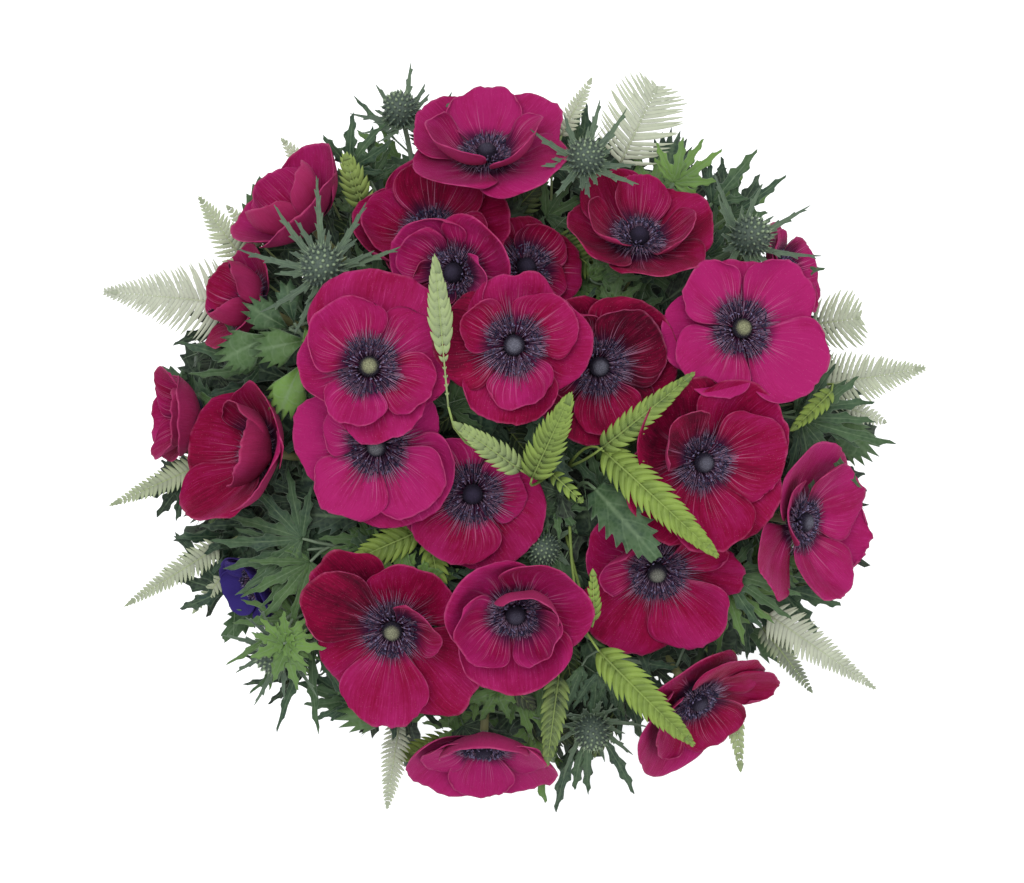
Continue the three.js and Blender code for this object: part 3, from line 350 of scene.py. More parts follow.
# Young divided leaves that show between the flowers. width: that of one lobe.
YOUNG_LEAVES = [
    dict(base=(-60, -74, 280), tip=(-84, -50, 284), width=7, arch=4, tone=0.9, lobes=6, fan=80),
    dict(base=(-48, -74, 280), tip=(-44, -48, 284), width=7, arch=4, tone=0.8, lobes=5, fan=60),
    dict(base=(-36, -66, 278), tip=(-26, -58, 282), width=6, arch=3, tone=0.7, lobes=4, fan=70),
    dict(base=(72, 130, 262), tip=(64, 152, 262), width=8, arch=4, tone=0.85, lobes=5, fan=75),
    dict(base=(80, 128, 262), tip=(96, 142, 262), width=8, arch=4, tone=0.75, lobes=4, fan=60),
    dict(base=(-118, -108, 268), tip=(-96, -100, 276), width=5, arch=4, tone=0.95, lobes=7, fan=100),
    dict(base=(-120, -108, 268), tip=(-138, -104, 268), width=6, arch=4, tone=0.8, lobes=5, fan=90),
    dict(base=(-18, -128, 250), tip=(-32, -148, 248), width=7, arch=3, tone=0.6, lobes=5, fan=60),
    dict(base=(2, -132, 252), tip=(24, -152, 248), width=7, arch=3, tone=0.65, lobes=5, fan=60),
    dict(base=(40, 84, 280), tip=(34, 104, 282), width=7, arch=4, tone=0.5, lobes=5, fan=80),
    dict(base=(52, 70, 284), tip=(70, 84, 284), width=7, arch=4, tone=0.45, lobes=5, fan=80),
    dict(base=(46, 84, 280), tip=(64, 96, 276), width=7, arch=4, tone=0.35, lobes=5, fan=70),
    dict(base=(24, -34, 284), tip=(30, -52, 284), width=5, arch=4, tone=0.2, lobes=6, fan=90),
    dict(base=(18, -30, 284), tip=(-2, -44, 284), width=5, arch=4, tone=0.25, lobes=5, fan=70),
    dict(base=(104, -86, 262), tip=(118, -104, 262), width=7, arch=4, tone=0.75, lobes=4, fan=60),
    dict(base=(96, -92, 258), tip=(84, -108, 262), width=7, arch=4, tone=0.5, lobes=5, fan=70),
    dict(base=(134, -62, 262), tip=(148, -78, 258), width=7, arch=4, tone=0.3, lobes=5, fan=60),
    dict(base=(140, 36, 268), tip=(156, 24, 270), width=7, arch=4, tone=0.6, lobes=5, fan=70),
    dict(base=(-84, 120, 262), tip=(-76, 142, 264), width=7, arch=4, tone=0.3, lobes=5, fan=60),
    dict(base=(58, 66, 262), tip=(82, 80, 262), width=9, arch=4, tone=0.15, lobes=6, fan=90),
    dict(base=(-8, -130, 264), tip=(-15, -150, 262), width=9, arch=3, tone=0.6, lobes=5, fan=80),
    dict(base=(44, -120, 270), tip=(38, -158, 268), width=7, arch=3, tone=0.0, lobes=3, fan=28),
    dict(base=(36, -116, 272), tip=(26, -150, 268), width=6, arch=3, tone=0.1, lobes=3, fan=24),
    dict(base=(50, -118, 270), tip=(52, -150, 268), width=6, arch=3, tone=0.05, lobes=3, fan=24),
    dict(base=(34, -158, 256), tip=(15, -204, 242), width=7, arch=3, tone=0.05, lobes=1),
    dict(base=(38, -160, 256), tip=(30, -188, 248), width=7, arch=3, tone=0.1, lobes=1),
    dict(base=(40, -158, 250), tip=(42, -186, 246), width=5, arch=3, tone=0.05, lobes=1),
    dict(base=(48, -156, 256), tip=(66, -194, 242), width=7, arch=3, tone=0.0, lobes=1),
    dict(base=(-46, 158, 268), tip=(-34, 192, 266), width=4, arch=3, tone=0.2, lobes=1),
    dict(base=(-62, 160, 266), tip=(-86, 184, 262), width=4, arch=3, tone=0.2, lobes=1),
    dict(base=(-138, 100, 258), tip=(-152, 112, 258), width=5, arch=3, tone=0.4, lobes=3, fan=40),
    dict(base=(-120, -62, 264), tip=(-148, -68, 264), width=6, arch=4, tone=0.1, lobes=5, fan=55),
    dict(base=(-118, -86, 268), tip=(-146, -82, 262), width=5, arch=4, tone=0.45, lobes=4, fan=50),
]


# ------------------------------------------------------------------ settings
class BloomSettings(PropertyGroup):
    """Sizes and colours of the anemones."""

    petal_thickness: FloatProperty(
        name="Petal thickness", description="Thickness of a petal", default=0.00045, unit="LENGTH")
    ruffle: FloatProperty(
        name="Ruffle", description="How far a petal's rim waves, in millimetres", default=1.3)
    folds: FloatProperty(
        name="Folds", description="Height of a petal's soft folds, in millimetres", default=3.4)
    cup: FloatProperty(
        name="Cup", description="How far a petal's sides curl up, in millimetres", default=3.0)
    stamens: IntProperty(
        name="Stamens", description="How many stamens stand round the boss", default=235)
    hairs: IntProperty(
        name="Hairs", description="How many threads fan out past the stamens", default=150)
    crimson: FloatVectorProperty(
        name="Crimson", description="Colour of the deepest petals", subtype="COLOR", default=(0.20, 0.0008, 0.030))
    magenta: FloatVectorProperty(
        name="Magenta", description="Colour of the palest petals", subtype="COLOR", default=(0.32, 0.011, 0.108))
    petal_back: FloatVectorProperty(
        name="Petal back", description="Colour of a petal's outside", subtype="COLOR", default=(0.33, 0.028, 0.105))
    anther: FloatVectorProperty(
        name="Anther", description="Colour of the anthers", subtype="COLOR", default=(0.015, 0.012, 0.034))
    filament: FloatVectorProperty(
        name="Filament", description="Colour of a stamen's thread", subtype="COLOR", default=(0.36, 0.23, 0.34))


class GreenSettings(PropertyGroup):
    """Sizes and colours of the stems and leaves."""

    stem_radius: FloatProperty(
        name="Stem radius", description="Radius of a stem at its foot", default=0.00262, unit="LENGTH")
    stem: FloatVectorProperty(
        name="Stem", description="Colour of the stems", subtype="COLOR", default=(0.15, 0.24, 0.07))
    fern_deep: FloatVectorProperty(
        name="Deep fern", description="Colour of shaded fern", subtype="COLOR", default=(0.016, 0.036, 0.012))
    fern_bright: FloatVectorProperty(
        name="Bright fern", description="Colour of young fern", subtype="COLOR", default=(0.19, 0.27, 0.05))
    fern_pale: FloatVectorProperty(
        name="Pale fern", description="Colour of bleached fern", subtype="COLOR", default=(0.55, 0.575, 0.46))
    holly: FloatVectorProperty(
        name="Sea holly", description="Colour of sea holly's leaves", subtype="COLOR", default=(0.020, 0.046, 0.028))
    holly_bright: FloatVectorProperty(
        name="Bright sea holly", description="Colour of its youngest leaves", subtype="COLOR",
        default=(0.12, 0.22, 0.045))
    twine: FloatVectorProperty(
        name="Twine", description="Colour of the tie", subtype="COLOR", default=(0.46, 0.32, 0.17))


class StageSettings(PropertyGroup):
    """The floor, the light and the camera."""

    floor: FloatVectorProperty(
        name="Floor", description="Colour of the floor", subtype="COLOR", default=(0.9, 0.9, 0.9))
    key: FloatProperty(name="Key light", description="Power of the light overhead", default=36, unit="POWER")
    sky: FloatProperty(name="Sky", description="Brightness of the room", default=0.75)
    camera_height: FloatProperty(
        name="Camera height", description="Height of the camera over the floor", default=1.615, unit="LENGTH")
    focal_length: FloatProperty(
        name="Focal length", description="Focal length of the camera's lens", default=91.4, unit="CAMERA")


# ------------------------------------------------------------------ finishes
# painted shade: the near-black that petals in shadow are darkened to
PETAL_PAINTED_SHADE = (0.045, 0.001, 0.009)
PETAL_VEIN = (0.60, 0.08, 0.28)
PETAL_SPECK = (0.62, 0.30, 0.40)
PETAL_STREAK = (0.60, 0.24, 0.40)
# the petal's own dark heart, deepened as the painted shadow of the stamens
PETAL_HEART_AND_SHADOW = (0.022, 0.004, 0.022)
# painted highlight along a petal's rim
PETAL_RIM_HIGHLIGHT = (0.58, 0.14, 0.27)
PETAL_VIOLET = (0.034, 0.022, 0.15)
THREAD_TOP = (0.045, 0.016, 0.055)
# pale dust on the anthers, which also paints their highlights
ANTHER_DUST_AND_HIGHLIGHT = (0.20, 0.17, 0.29)
BOSS_FOOT = (0.013, 0.009, 0.022)
BOSS_PLUM = (0.040, 0.030, 0.065)
BOSS_GREY = (0.16, 0.16, 0.20)
BOSS_GREEN = (0.27, 0.28, 0.16)
BOSS_GROOVE = (0.014, 0.012, 0.02)
STEM_NECK = (0.16, 0.10, 0.05)
STEM_CUT = (0.42, 0.44, 0.22)
# painted shade for fern that lies deep in the posy
FERN_PAINTED_SHADE = (0.010, 0.014, 0.008)
FERN_RIB = (0.26, 0.34, 0.10)
FERN_BACK = (0.12, 0.17, 0.07)
HOLLY_WAX = (0.06, 0.10, 0.10)
# painted shade for sea holly leaves that lie deep in the posy
HOLLY_PAINTED_SHADE = (0.010, 0.014, 0.010)
HOLLY_NET = (0.15, 0.22, 0.12)
HOLLY_SPINE = (0.22, 0.27, 0.21)
HOLLY_BACK = (0.09, 0.14, 0.08)
FLORET_DEEP = (0.040, 0.062, 0.050)
FLORET_TIP = (0.26, 0.34, 0.20)
SHEEN_TINT = (1.0, 0.45, 0.7, 1.0)
SKY = (0.95, 0.97, 1.0, 1.0)


class Value:
    """What a node of a finish gives out. Python's operators on it add Math nodes."""

    def __init__(self, finish, socket):
        self.finish = finish
        self.socket = socket

    def maths(self, operation, *values):
        return self.finish.node("ShaderNodeMath", {"operation": operation}, dict(enumerate(values)))

    def __add__(self, other):
        return self.maths("ADD", self, other)

    def __radd__(self, other):
        return self.maths("ADD", other, self)

    def __sub__(self, other):
        return self.maths("SUBTRACT", self, other)

    def __rsub__(self, other):
        return self.maths("SUBTRACT", other, self)

    def __mul__(self, other):
        return self.maths("MULTIPLY", self, other)

    def __neg__(self):
        return self.maths("MULTIPLY", self, -1.0)

    def __abs__(self):
        return self.maths("ABSOLUTE", self)

    def wave(self):
        return self.maths("SINE", self)

    def most(self, other):
        return self.maths("MAXIMUM", self, other)

    def clamped(self):
        return self.finish.node("ShaderNodeClamp", {}, {"Value": self})

    def ramp(self, low, high):
        """0 below low and 1 above high, with a smooth step between them. low may be the larger."""
        settings = {"interpolation_type": "SMOOTHSTEP"}
        if low < high:
            return self.finish.node(
                "ShaderNodeMapRange", settings, {"Value": self, "From Min": low, "From Max": high})
        return 1 - self.finish.node(
            "ShaderNodeMapRange", settings, {"Value": self, "From Min": high, "From Max": low})


class Finish:
    """A material that is made a node at a time."""

    def __init__(self, name):
        self.material = bpy.data.materials.new(name)
        self.material.use_nodes = True
        self.tree = self.material.node_tree
        self.tree.nodes.clear()

    def node(self, kind, settings=None, values=None, output=0):
        node = self.tree.nodes.new(kind)
        for name, setting in (settings or {}).items():
            setattr(node, name, setting)
        for key, value in (values or {}).items():
            if isinstance(value, Value):
                self.tree.links.new(value.socket, node.inputs[key])
            else:
                node.inputs[key].default_value = value
        return Value(self, node.outputs[output])

    def attribute(self, name):
        return self.node("ShaderNodeAttribute", {"attribute_name": name}, output="Fac")

    def place(self):
        """The point's own coordinates in metres."""
        return self.node("ShaderNodeTexCoord", output="Object")

    def vector(self, x, y, z):
        return self.node("ShaderNodeCombineXYZ", {}, {0: x, 1: y, 2: z})

    def noise(self, vector, detail, scale=1.0, roughness=0.55):
        return self.node(
            "ShaderNodeTexNoise", {},
            {"Vector": vector, "Scale": scale, "Detail": detail, "Roughness": roughness}, output=0)

    def cells(self, vector, scale):
        return self.node("ShaderNodeTexVoronoi", {}, {"Vector": vector, "Scale": scale}, output="Distance")

    def mix(self, share, first, second):
        def whole(colour):
            return colour if isinstance(colour, Value) else (*colour, 1.0)
        return self.node(
            "ShaderNodeMix", {"data_type": "RGBA"}, {0: share, 6: whole(first), 7: whole(second)}, output=2)

    def bump(self, height, strength, distance):
        return self.node(
            "ShaderNodeBump", {}, {"Height": height, "Strength": strength, "Distance": distance})

    def surface(self, **values):
        """Ends the material in a Principled shader. An underscore stands for a space."""
        names = {name.replace("_", " "): value for name, value in values.items()}
        shader = self.node("ShaderNodeBsdfPrincipled", {}, names)
        out = self.tree.nodes.new("ShaderNodeOutputMaterial")
        self.tree.links.new(shader.socket, out.inputs["Surface"])
        return self.material


def petal_finish(look):
    """Velvety petals: fine veins that run out from the middle, a paler outside, a painted highlight along the rim, a
    dark heart deepened by painted shadow, and painted shade on petals in shadow.
    """
    f = Finish("petal_velvet")
    across, along, tone = f.attribute("across"), f.attribute("along"), f.attribute("tone")
    back, near, seed = f.attribute("back"), f.attribute("near"), f.attribute("seed")
    violet = f.attribute("violet")
    fine = f.noise(f.vector(across * 38, along * 3.6, seed), detail=5, roughness=0.78)
    broad = f.noise(f.vector(across * 1.8, along * 1.3, seed + 7), detail=2)
    mottle = f.noise(f.place(), scale=260, detail=3)
    lit = tone + (fine - 0.5) * 1.5 + (broad - 0.5) * 1.6 + (along - 0.5) * 0.4 + (mottle - 0.5) * 0.5
    colour = f.mix(lit.clamped(), tuple(look.crimson), tuple(look.magenta))
    # painted shade: where the tone falls below 0, on flowers and petals that lie in shadow, the colour goes towards
    # near-black
    colour = f.mix((-lit * 1.4).clamped(), colour, PETAL_PAINTED_SHADE)
    colour = f.mix((fine - 0.5).ramp(0.06, 0.26) * (0.24 + tone * 0.25).clamped(), colour, PETAL_VEIN)
    dots = f.cells(f.place(), 900)
    colour = f.mix(dots.ramp(0.13, 0.05) * 0.35, colour, PETAL_SPECK)
    colour = f.mix(back * (0.3 + fine * 0.6).clamped(), colour, tuple(look.petal_back))
    hair = f.noise(f.vector(across * 52, along * 1.1, seed + 3), detail=1)
    streak = hair.ramp(0.58, 0.72) * near.ramp(2.1, 1.0) * (1 - back)
    colour = f.mix(streak * 0.4, colour, PETAL_STREAK)
    # the dark heart round the disc: the petal's own dark base, deepened by the painted shadow that the stamens cast
    shade = (near + (hair - 0.5) * 0.6).ramp(1.25, 0.75) * (1 - back)
    colour = f.mix(shade * 0.93, colour, PETAL_HEART_AND_SHADOW)
    # a pale line along the rim: a painted highlight where light shines through the thin edge
    rim = abs(across).most(along).ramp(0.965, 1.0) * (mottle * 2 - 0.6).clamped()
    colour = f.mix(rim * 0.4, colour, PETAL_RIM_HIGHLIGHT)
    colour = f.mix(violet, colour, PETAL_VIOLET)
    veins = f.bump(fine + hair * 0.3 + mottle * 0.5, 0.7, 0.0007)
    return f.surface(
        Base_Color=colour, Roughness=0.66 - fine * 0.1, Normal=veins,
        Specular_IOR_Level=0.07, Sheen_Weight=0.04, Sheen_Roughness=0.4, Sheen_Tint=SHEEN_TINT)


def stamen_finish(look):
    """Dark anthers, with pale dust that is partly a painted highlight, on threads that are pale near the boss."""
    f = Finish("stamens")
    anther, along, tone = f.attribute("anther"), f.attribute("along"), f.attribute("tone")
    grain = f.noise(f.place(), scale=2600, detail=2)
    thread = f.mix((along.ramp(1.5, 0.0) * tone).clamped(), THREAD_TOP, tuple(look.filament))
    # pale dust on some anthers, which also paints their grey-blue highlights
    dust_and_highlight = f.mix(grain.ramp(0.35, 0.65) * tone, tuple(look.anther), ANTHER_DUST_AND_HIGHLIGHT)
    return f.surface(Base_Color=f.mix(anther, thread, dust_and_highlight), Roughness=0.75, Specular_IOR_Level=0.2)


def boss_finish():
    """The knob of tiny carpels: from plum at its foot to grey or pale green at its top."""
    f = Finish("boss")
    boss, height = f.attribute("tone"), f.attribute("along")
    dots = f.cells(f.place(), 1500)
    grain = f.noise(f.place(), scale=1300, detail=2)
    grey = f.mix(boss.ramp(0.0, 0.5), BOSS_PLUM, BOSS_GREY)
    top = f.mix(boss.ramp(0.6, 1.0), grey, BOSS_GREEN)
    share = (height.ramp(0.45, 1.0) * (0.5 + boss * 0.6) + (grain - 0.5) * 0.5).clamped()
    colour = f.mix(share, BOSS_FOOT, top)
    colour = f.mix(dots.ramp(0.3, 0.6) * 0.4, colour, BOSS_GROOVE)
    return f.surface(
        Base_Color=colour, Roughness=0.85, Specular_IOR_Level=0.2, Normal=f.bump(1 - dots, 0.6, 0.0004))


def stem_finish(look):
    """Ridged green stems, brownish near the flower, and pale and wet at the cut."""
    f = Finish("stem")
    along, around = f.attribute("along"), f.attribute("across")
    ridges = f.noise(f.vector(around * 7, along * 1.5, 0.0), detail=2)
    mottle = f.noise(f.place(), scale=90, detail=3)
    deep = tuple(c * 0.45 for c in look.stem)
    colour = f.mix((ridges * 0.7 + mottle * 0.6 - 0.25).clamped(), deep, tuple(look.stem))
    colour = f.mix(along.ramp(0.75, 1.0) * 0.55, colour, STEM_NECK)
    colour = f.mix(along.ramp(0.02, 0.0), colour, STEM_CUT)
    return f.surface(
        Base_Color=colour, Roughness=0.5 + mottle * 0.15, Normal=f.bump(ridges, 0.5, 0.0006))


def fern_finish(name, look):
    """Fern leaflets: veined, with a paler rib, from deep green to bleached sage, and darkened with painted shade
    where they lie deep.
    """
    f = Finish(name)
    across, along, tone = f.attribute("across"), f.attribute("along"), f.attribute("tone")
    pale, rib, back = f.attribute("pale"), f.attribute("rib"), f.attribute("back")
    veins = (along * 60 + abs(across) * 14).wave() * 0.5 + 0.5
    mottle = f.noise(f.place(), scale=120, detail=3)
    share = (tone + (mottle - 0.5) * 0.9 + (along - 0.55) * 0.7 - veins * 0.05).clamped()
    colour = f.mix(share, tuple(look.fern_deep), tuple(look.fern_bright))
    # painted shade: where the tone falls below 0, on leaves deep among the flowers, the colour goes towards
    # near-black
    colour = f.mix((-(tone + (mottle - 0.5) * 0.6) * 1.8).clamped(), colour, FERN_PAINTED_SHADE)
    bleach = (pale * (0.75 + mottle * 0.5) - veins * 0.08).clamped()
    colour = f.mix(bleach, colour, tuple(look.fern_pale))
    middle = abs(across).ramp(0.22, 0.02)
    colour = f.mix((middle * 0.25 + rib * 0.5).clamped() * (1 - pale * 0.6), colour, FERN_RIB)
    colour = f.mix(back * 0.3, colour, FERN_BACK)
    return f.surface(
        Base_Color=colour, Roughness=0.55 + mottle * 0.12, Specular_IOR_Level=0.2,
        Normal=f.bump(veins * 0.3 + middle, 0.3, 0.0003))


def holly_finish(look):
    """Waxy blue-green leaves with a pale net of veins, a pale rib, pale spines and a pale edge that is partly a
    painted highlight, darkened with painted shade where they lie deep.
    """
    f = Finish("sea_holly_leaf")
    across, along, tone = f.attribute("across"), f.attribute("along"), f.attribute("tone")
    back, spine = f.attribute("back"), f.attribute("rib")
    net = f.cells(f.place(), 420)
    bloom = f.noise(f.place(), scale=70, detail=3)
    share = (tone + (bloom - 0.5) * 0.7).clamped()
    colour = f.mix(share, tuple(look.holly), tuple(look.holly_bright))
    colour = f.mix((bloom - 0.5).ramp(0.0, 0.25) * (1 - tone) * 0.3, colour, HOLLY_WAX)
    # painted shade: where the tone falls below 0, on leaves deep among the flowers, the colour goes towards
    # near-black
    colour = f.mix((-(tone + (bloom - 0.5) * 0.6) * 1.8).clamped(), colour, HOLLY_PAINTED_SHADE)
    middle = abs(across).ramp(0.16, 0.02) * (1 - along * 0.6)
    branch = (abs(across) * 9 - along * 26).wave().ramp(0.8, 1.0)
    colour = f.mix(middle * 0.55 + branch * 0.16 + net.ramp(0.35, 0.6) * 0.12, colour, HOLLY_NET)
    # the pale spines are the leaf's own; the pale edge is partly its own margin and partly a painted highlight
    edge = abs(across).ramp(0.9, 1.0)
    colour = f.mix((spine * 0.8 + edge * 0.3).clamped(), colour, HOLLY_SPINE)
    colour = f.mix(back * 0.3, colour, HOLLY_BACK)
    return f.surface(
        Base_Color=colour, Roughness=0.5 + bloom * 0.2, Specular_IOR_Level=0.22,
        Normal=f.bump(middle + branch * 0.4 + net * 0.5, 0.4, 0.0005))


def cone_finish():
    """Sea holly's florets, pale green at their tips and slate blue between them."""
    f = Finish("sea_holly_cone")
    tip = f.attribute("along")
    grain = f.noise(f.place(), scale=900, detail=2)
    colour = f.mix((tip + (grain - 0.5) * 0.5).clamped(), FLORET_DEEP, FLORET_TIP)
    return f.surface(Base_Color=colour, Roughness=0.7, Normal=f.bump(grain, 0.5, 0.0004))


def twine_finish(look):
    """Dry jute fibres that run along each strand."""
    f = Finish("twine")
    along, around = f.attribute("along"), f.attribute("across")
    fibres = f.noise(f.vector(around * 6, along * 60, 0.0), detail=3, roughness=0.7)
    dark = tuple(c * 0.35 for c in look.twine)
    return f.surface(
        Base_Color=f.mix(fibres.ramp(0.3, 0.65), dark, tuple(look.twine)), Roughness=0.9,
        Sheen_Weight=0.3, Normal=f.bump(fibres, 0.8, 0.0005))


def floor_finish(colour):
    f = Finish("studio_floor")
    grain = f.noise(f.place(), scale=3, detail=2)
    shade = f.mix(grain.ramp(0.3, 0.7), tuple(c * 0.985 for c in colour), tuple(colour))
    return f.surface(Base_Color=shade, Roughness=0.9, Emission_Color=shade, Emission_Strength=0.4)


# ------------------------------------------------------------------ modelling in mm
class Shape:
    """A mesh in the making. Its points are given in mm, and each keeps some named numbers. Every
    part is made in a small mesh of its own, which then joins the whole."""

    def __init__(self, *layers):
        self.names = layers
        self.bm, _ = self.blank()

    def blank(self):
        bm = bmesh.new()
        return bm, {name: bm.verts.layers.float.new(name) for name in self.names}

    def join(self, bm, layer, values):
        """Adds a part, with a value for each named layer: a number, or a function of a vertex."""
        for name, value in values.items():
            for vert in bm.verts:
                vert[layer[name]] = value(vert) if callable(value) else value
        mesh = bpy.data.meshes.new("part")
        bm.to_mesh(mesh)
        bm.free()
        self.bm.from_mesh(mesh)
        bpy.data.meshes.remove(mesh)

    def grid(self, across, along, place, thickness, **values):
        """A thin sheet of across by along faces. place gives the point for u, from -1 to 1 across
        it, and v, from 0 to 1 along it. Its front faces where u turns to v."""
        bm, layer = self.blank()
        at_u, at_v = layer["across"], layer["along"]
        front = {}
        for vert in bmesh.ops.create_grid(bm, x_segments=across, y_segments=along, size=1)["verts"]:
            u, v = vert.co.x, (vert.co.y + 1) / 2
            vert[at_u], vert[at_v] = u, v
            vert.co = place(u, v) * MM
            front[vert[at_u], vert[at_v]] = vert.co.copy()
        bm.normal_update()
        made = bmesh.ops.solidify(bm, geom=bm.faces[:], thickness=thickness * MM)["geom"]
        for vert in made:
            if isinstance(vert, bmesh.types.BMVert):
                vert[layer["back"]] = 1.0
                start = front[vert[at_u], vert[at_v]]
                step = vert.co - start
                if step.length > 1.6 * thickness * MM:
                    vert.co = start + step.normalized() * thickness * MM
        self.join(bm, layer, values)

    def stalk(self, points, radii, sides, level=False, **values):
        """A round stalk through the points: one ring, extruded from each point to the next. A level
        one is cut off flat at z = 0."""
        bm, layer = self.blank()
        made = bmesh.ops.create_circle(bm, segments=sides, radius=1)["verts"]
        edges = bm.edges[:]
        ends = [edges]
        last, side, before, foot = len(points) - 1, None, Matrix.Identity(4), {}
        for i, point in enumerate(points):
            ahead = (points[min(i + 1, last)] - points[max(i - 1, 0)]).normalized()
            side = side or ahead.orthogonal().normalized()
            side = (side - ahead * side.dot(ahead)).normalized()
            radius = radii[0] + (radii[1] - radii[0]) * i / last
            turn = Matrix((side * radius, ahead.cross(side) * radius, ahead * radius)).transposed()
            here = scaled(Matrix.Translation(point) @ turn.to_4x4())
            if i:
                grown = bmesh.ops.extrude_edge_only(bm, edges=edges)["geom"]
                made = [g for g in grown if isinstance(g, bmesh.types.BMVert)]
                own = set(made)
                edges = [g for g in grown if isinstance(g, bmesh.types.BMEdge) and set(g.verts) <= own]
            bmesh.ops.transform(bm, matrix=here @ before.inverted(), verts=made)
            for k, vert in enumerate(made):
                vert[layer["across"]], vert[layer["along"]] = 2 * k / sides, i / last
                if level and not i:
                    foot[vert] = vert.co - ahead * (vert.co.z / ahead.z)
            before = here
        for vert, co in foot.items():
            vert.co = co
        ends.append(edges)
        for edges in ends:
            bmesh.ops.contextual_create(bm, geom=edges)
        bmesh.ops.recalc_face_normals(bm, faces=bm.faces[:])
        self.join(bm, layer, values)

    def ball(self, matrix, around, up, **values):
        """A unit ball of around by up faces, which the matrix puts in its place."""
        bm, layer = self.blank()
        bmesh.ops.create_uvsphere(bm, u_segments=around, v_segments=up, radius=1, matrix=scaled(matrix))
        self.join(bm, layer, values)

    def spike(self, matrix, sides, **values):
        """A blunt cone with its foot at the matrix's place and its tip one unit up."""
        bm, layer = self.blank()
        bmesh.ops.create_cone(
            bm, cap_ends=True, segments=sides, radius1=1, radius2=0.15, depth=1,
            matrix=scaled(matrix @ Matrix.Translation((0, 0, 0.5))))
        self.join(bm, layer, values)

    def finish(self, name, material, slot, *replaced):
        """Makes the piece, hangs it on the body's empty, and hides the solids that it stands in for."""
        mesh = bpy.data.meshes.new(name)
        self.bm.to_mesh(mesh)
        self.bm.free()
        mesh.polygons.foreach_set("use_smooth", [True] * len(mesh.polygons))
        mesh.materials.append(material)
        piece = bpy.data.objects.new(name, mesh)
        bpy.context.scene.collection.objects.link(piece)
        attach(piece, BODY)
        if replaced:
            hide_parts(*replaced)


def scaled(matrix):
    """The matrix of a place and size in mm, in metres."""
    return Matrix.Scale(MM, 4) @ matrix


def turned(degrees):
    """The level direction at an angle from x."""
    return Vector((math.cos(math.radians(degrees)), math.sin(math.radians(degrees)), 0))


def leaning(lean, toward):
    """The direction that leans from upright, both in degrees."""
    return turned(toward) * math.sin(math.radians(lean)) + UP * math.cos(math.radians(lean))


def standing(at, axis):
    """A place in mm whose z axis is the given one."""
    return Matrix.Translation(at) @ UP.rotation_difference(axis).to_matrix().to_4x4()


def on_spiral(k, level):
    """The direction to the spiral's point k at a height, from -1 to 1, on a unit ball."""
    spread = math.sqrt(1 - level * level)
    return Vector((spread * math.cos(k * GOLDEN), spread * math.sin(k * GOLDEN), level))


def bezier(start, leaving, end, arriving, bow, steps):
    """The points after start on a curve that leaves and arrives in the given directions."""
    reach = (end - start).length * bow
    a, b = start + leaving * reach, end - arriving * reach
    points = []
    for k in range(1, steps + 1):
        t = k / steps
        s = 1 - t
        points.append(start * s ** 3 + a * (3 * s * s * t) + b * (3 * s * t * t) + end * t ** 3)
    return points


def place_at_tie(heads):
    """Gives each stem its place at the tie, as in the solid model."""
    def angle(p):
        return math.atan2(p.y, p.x)

    def wrap(a):
        return abs(math.atan2(math.sin(a), math.cos(a)))

    def lean(h):
        return math.hypot(h["top"].x, h["top"].y) / (h["top"].z - TIE_Z) * (FORK_LEAN if "fork" in h else 1)

    def wanted(h):
        return (angle(h["top"]) - math.radians(TWIST) + 4 * math.pi) % (2 * math.pi)

    by_reach = sorted(heads, key=lean)
    first = 0
    for ring in RINGS:
        members = sorted(by_reach[first:first + ring["count"]], key=wanted)
        first += len(members)
        slots = [2 * math.pi * j / len(members) for j in range(len(members))]
        best = min(
            (math.radians(shift) for shift in range(0, 360, RING_SHIFT)),
            key=lambda shift: round(sum(wrap(wanted(h) - s - shift) for h, s in zip(members, slots)), 9))
        for head, slot in zip(members, slots):
            a = slot + best
            head["tie"] = Vector((ring["radius"] * math.cos(a), ring["radius"] * math.sin(a), TIE_Z))
            head["rise"] = Vector((-ring["slope"] * math.sin(a), ring["slope"] * math.cos(a), 1))


def prepare():
    """Works out each flower's axis, root and stem, and each plant's fork."""
    for flower in FLOWERS:
        flower["axis"] = leaning(flower["lean"], flower["toward"])
        flower["root"] = Vector(flower["at"]) - flower["axis"] * DISC_RISE
        flower["top"] = flower["root"] - flower["axis"] * (CUP_DROP + SEAT_GAP)
    for plant in FERNS + SPRAYS:
        plant["top"] = Vector(plant["fork"])
        plant["axis"] = (Vector((plant["top"].x, plant["top"].y, 0)).normalized() + UP).normalized()
    place_at_tie(FLOWERS + FERNS + SPRAYS)


def stalk_points(head, steps):
    """A stem's middle line: straight from its foot past the tie, then a curve to its top."""
    foot = head["tie"] - head["rise"] * TIE_Z
    bend = head["tie"] + head["rise"] * STRAIGHT_TO
    leaving = head["rise"].normalized()
    start = [foot + (bend - foot) * k / 4 for k in range(5)]
    return start + bezier(bend, leaving, head["top"], head["axis"], head.get("bow", BOW), steps)


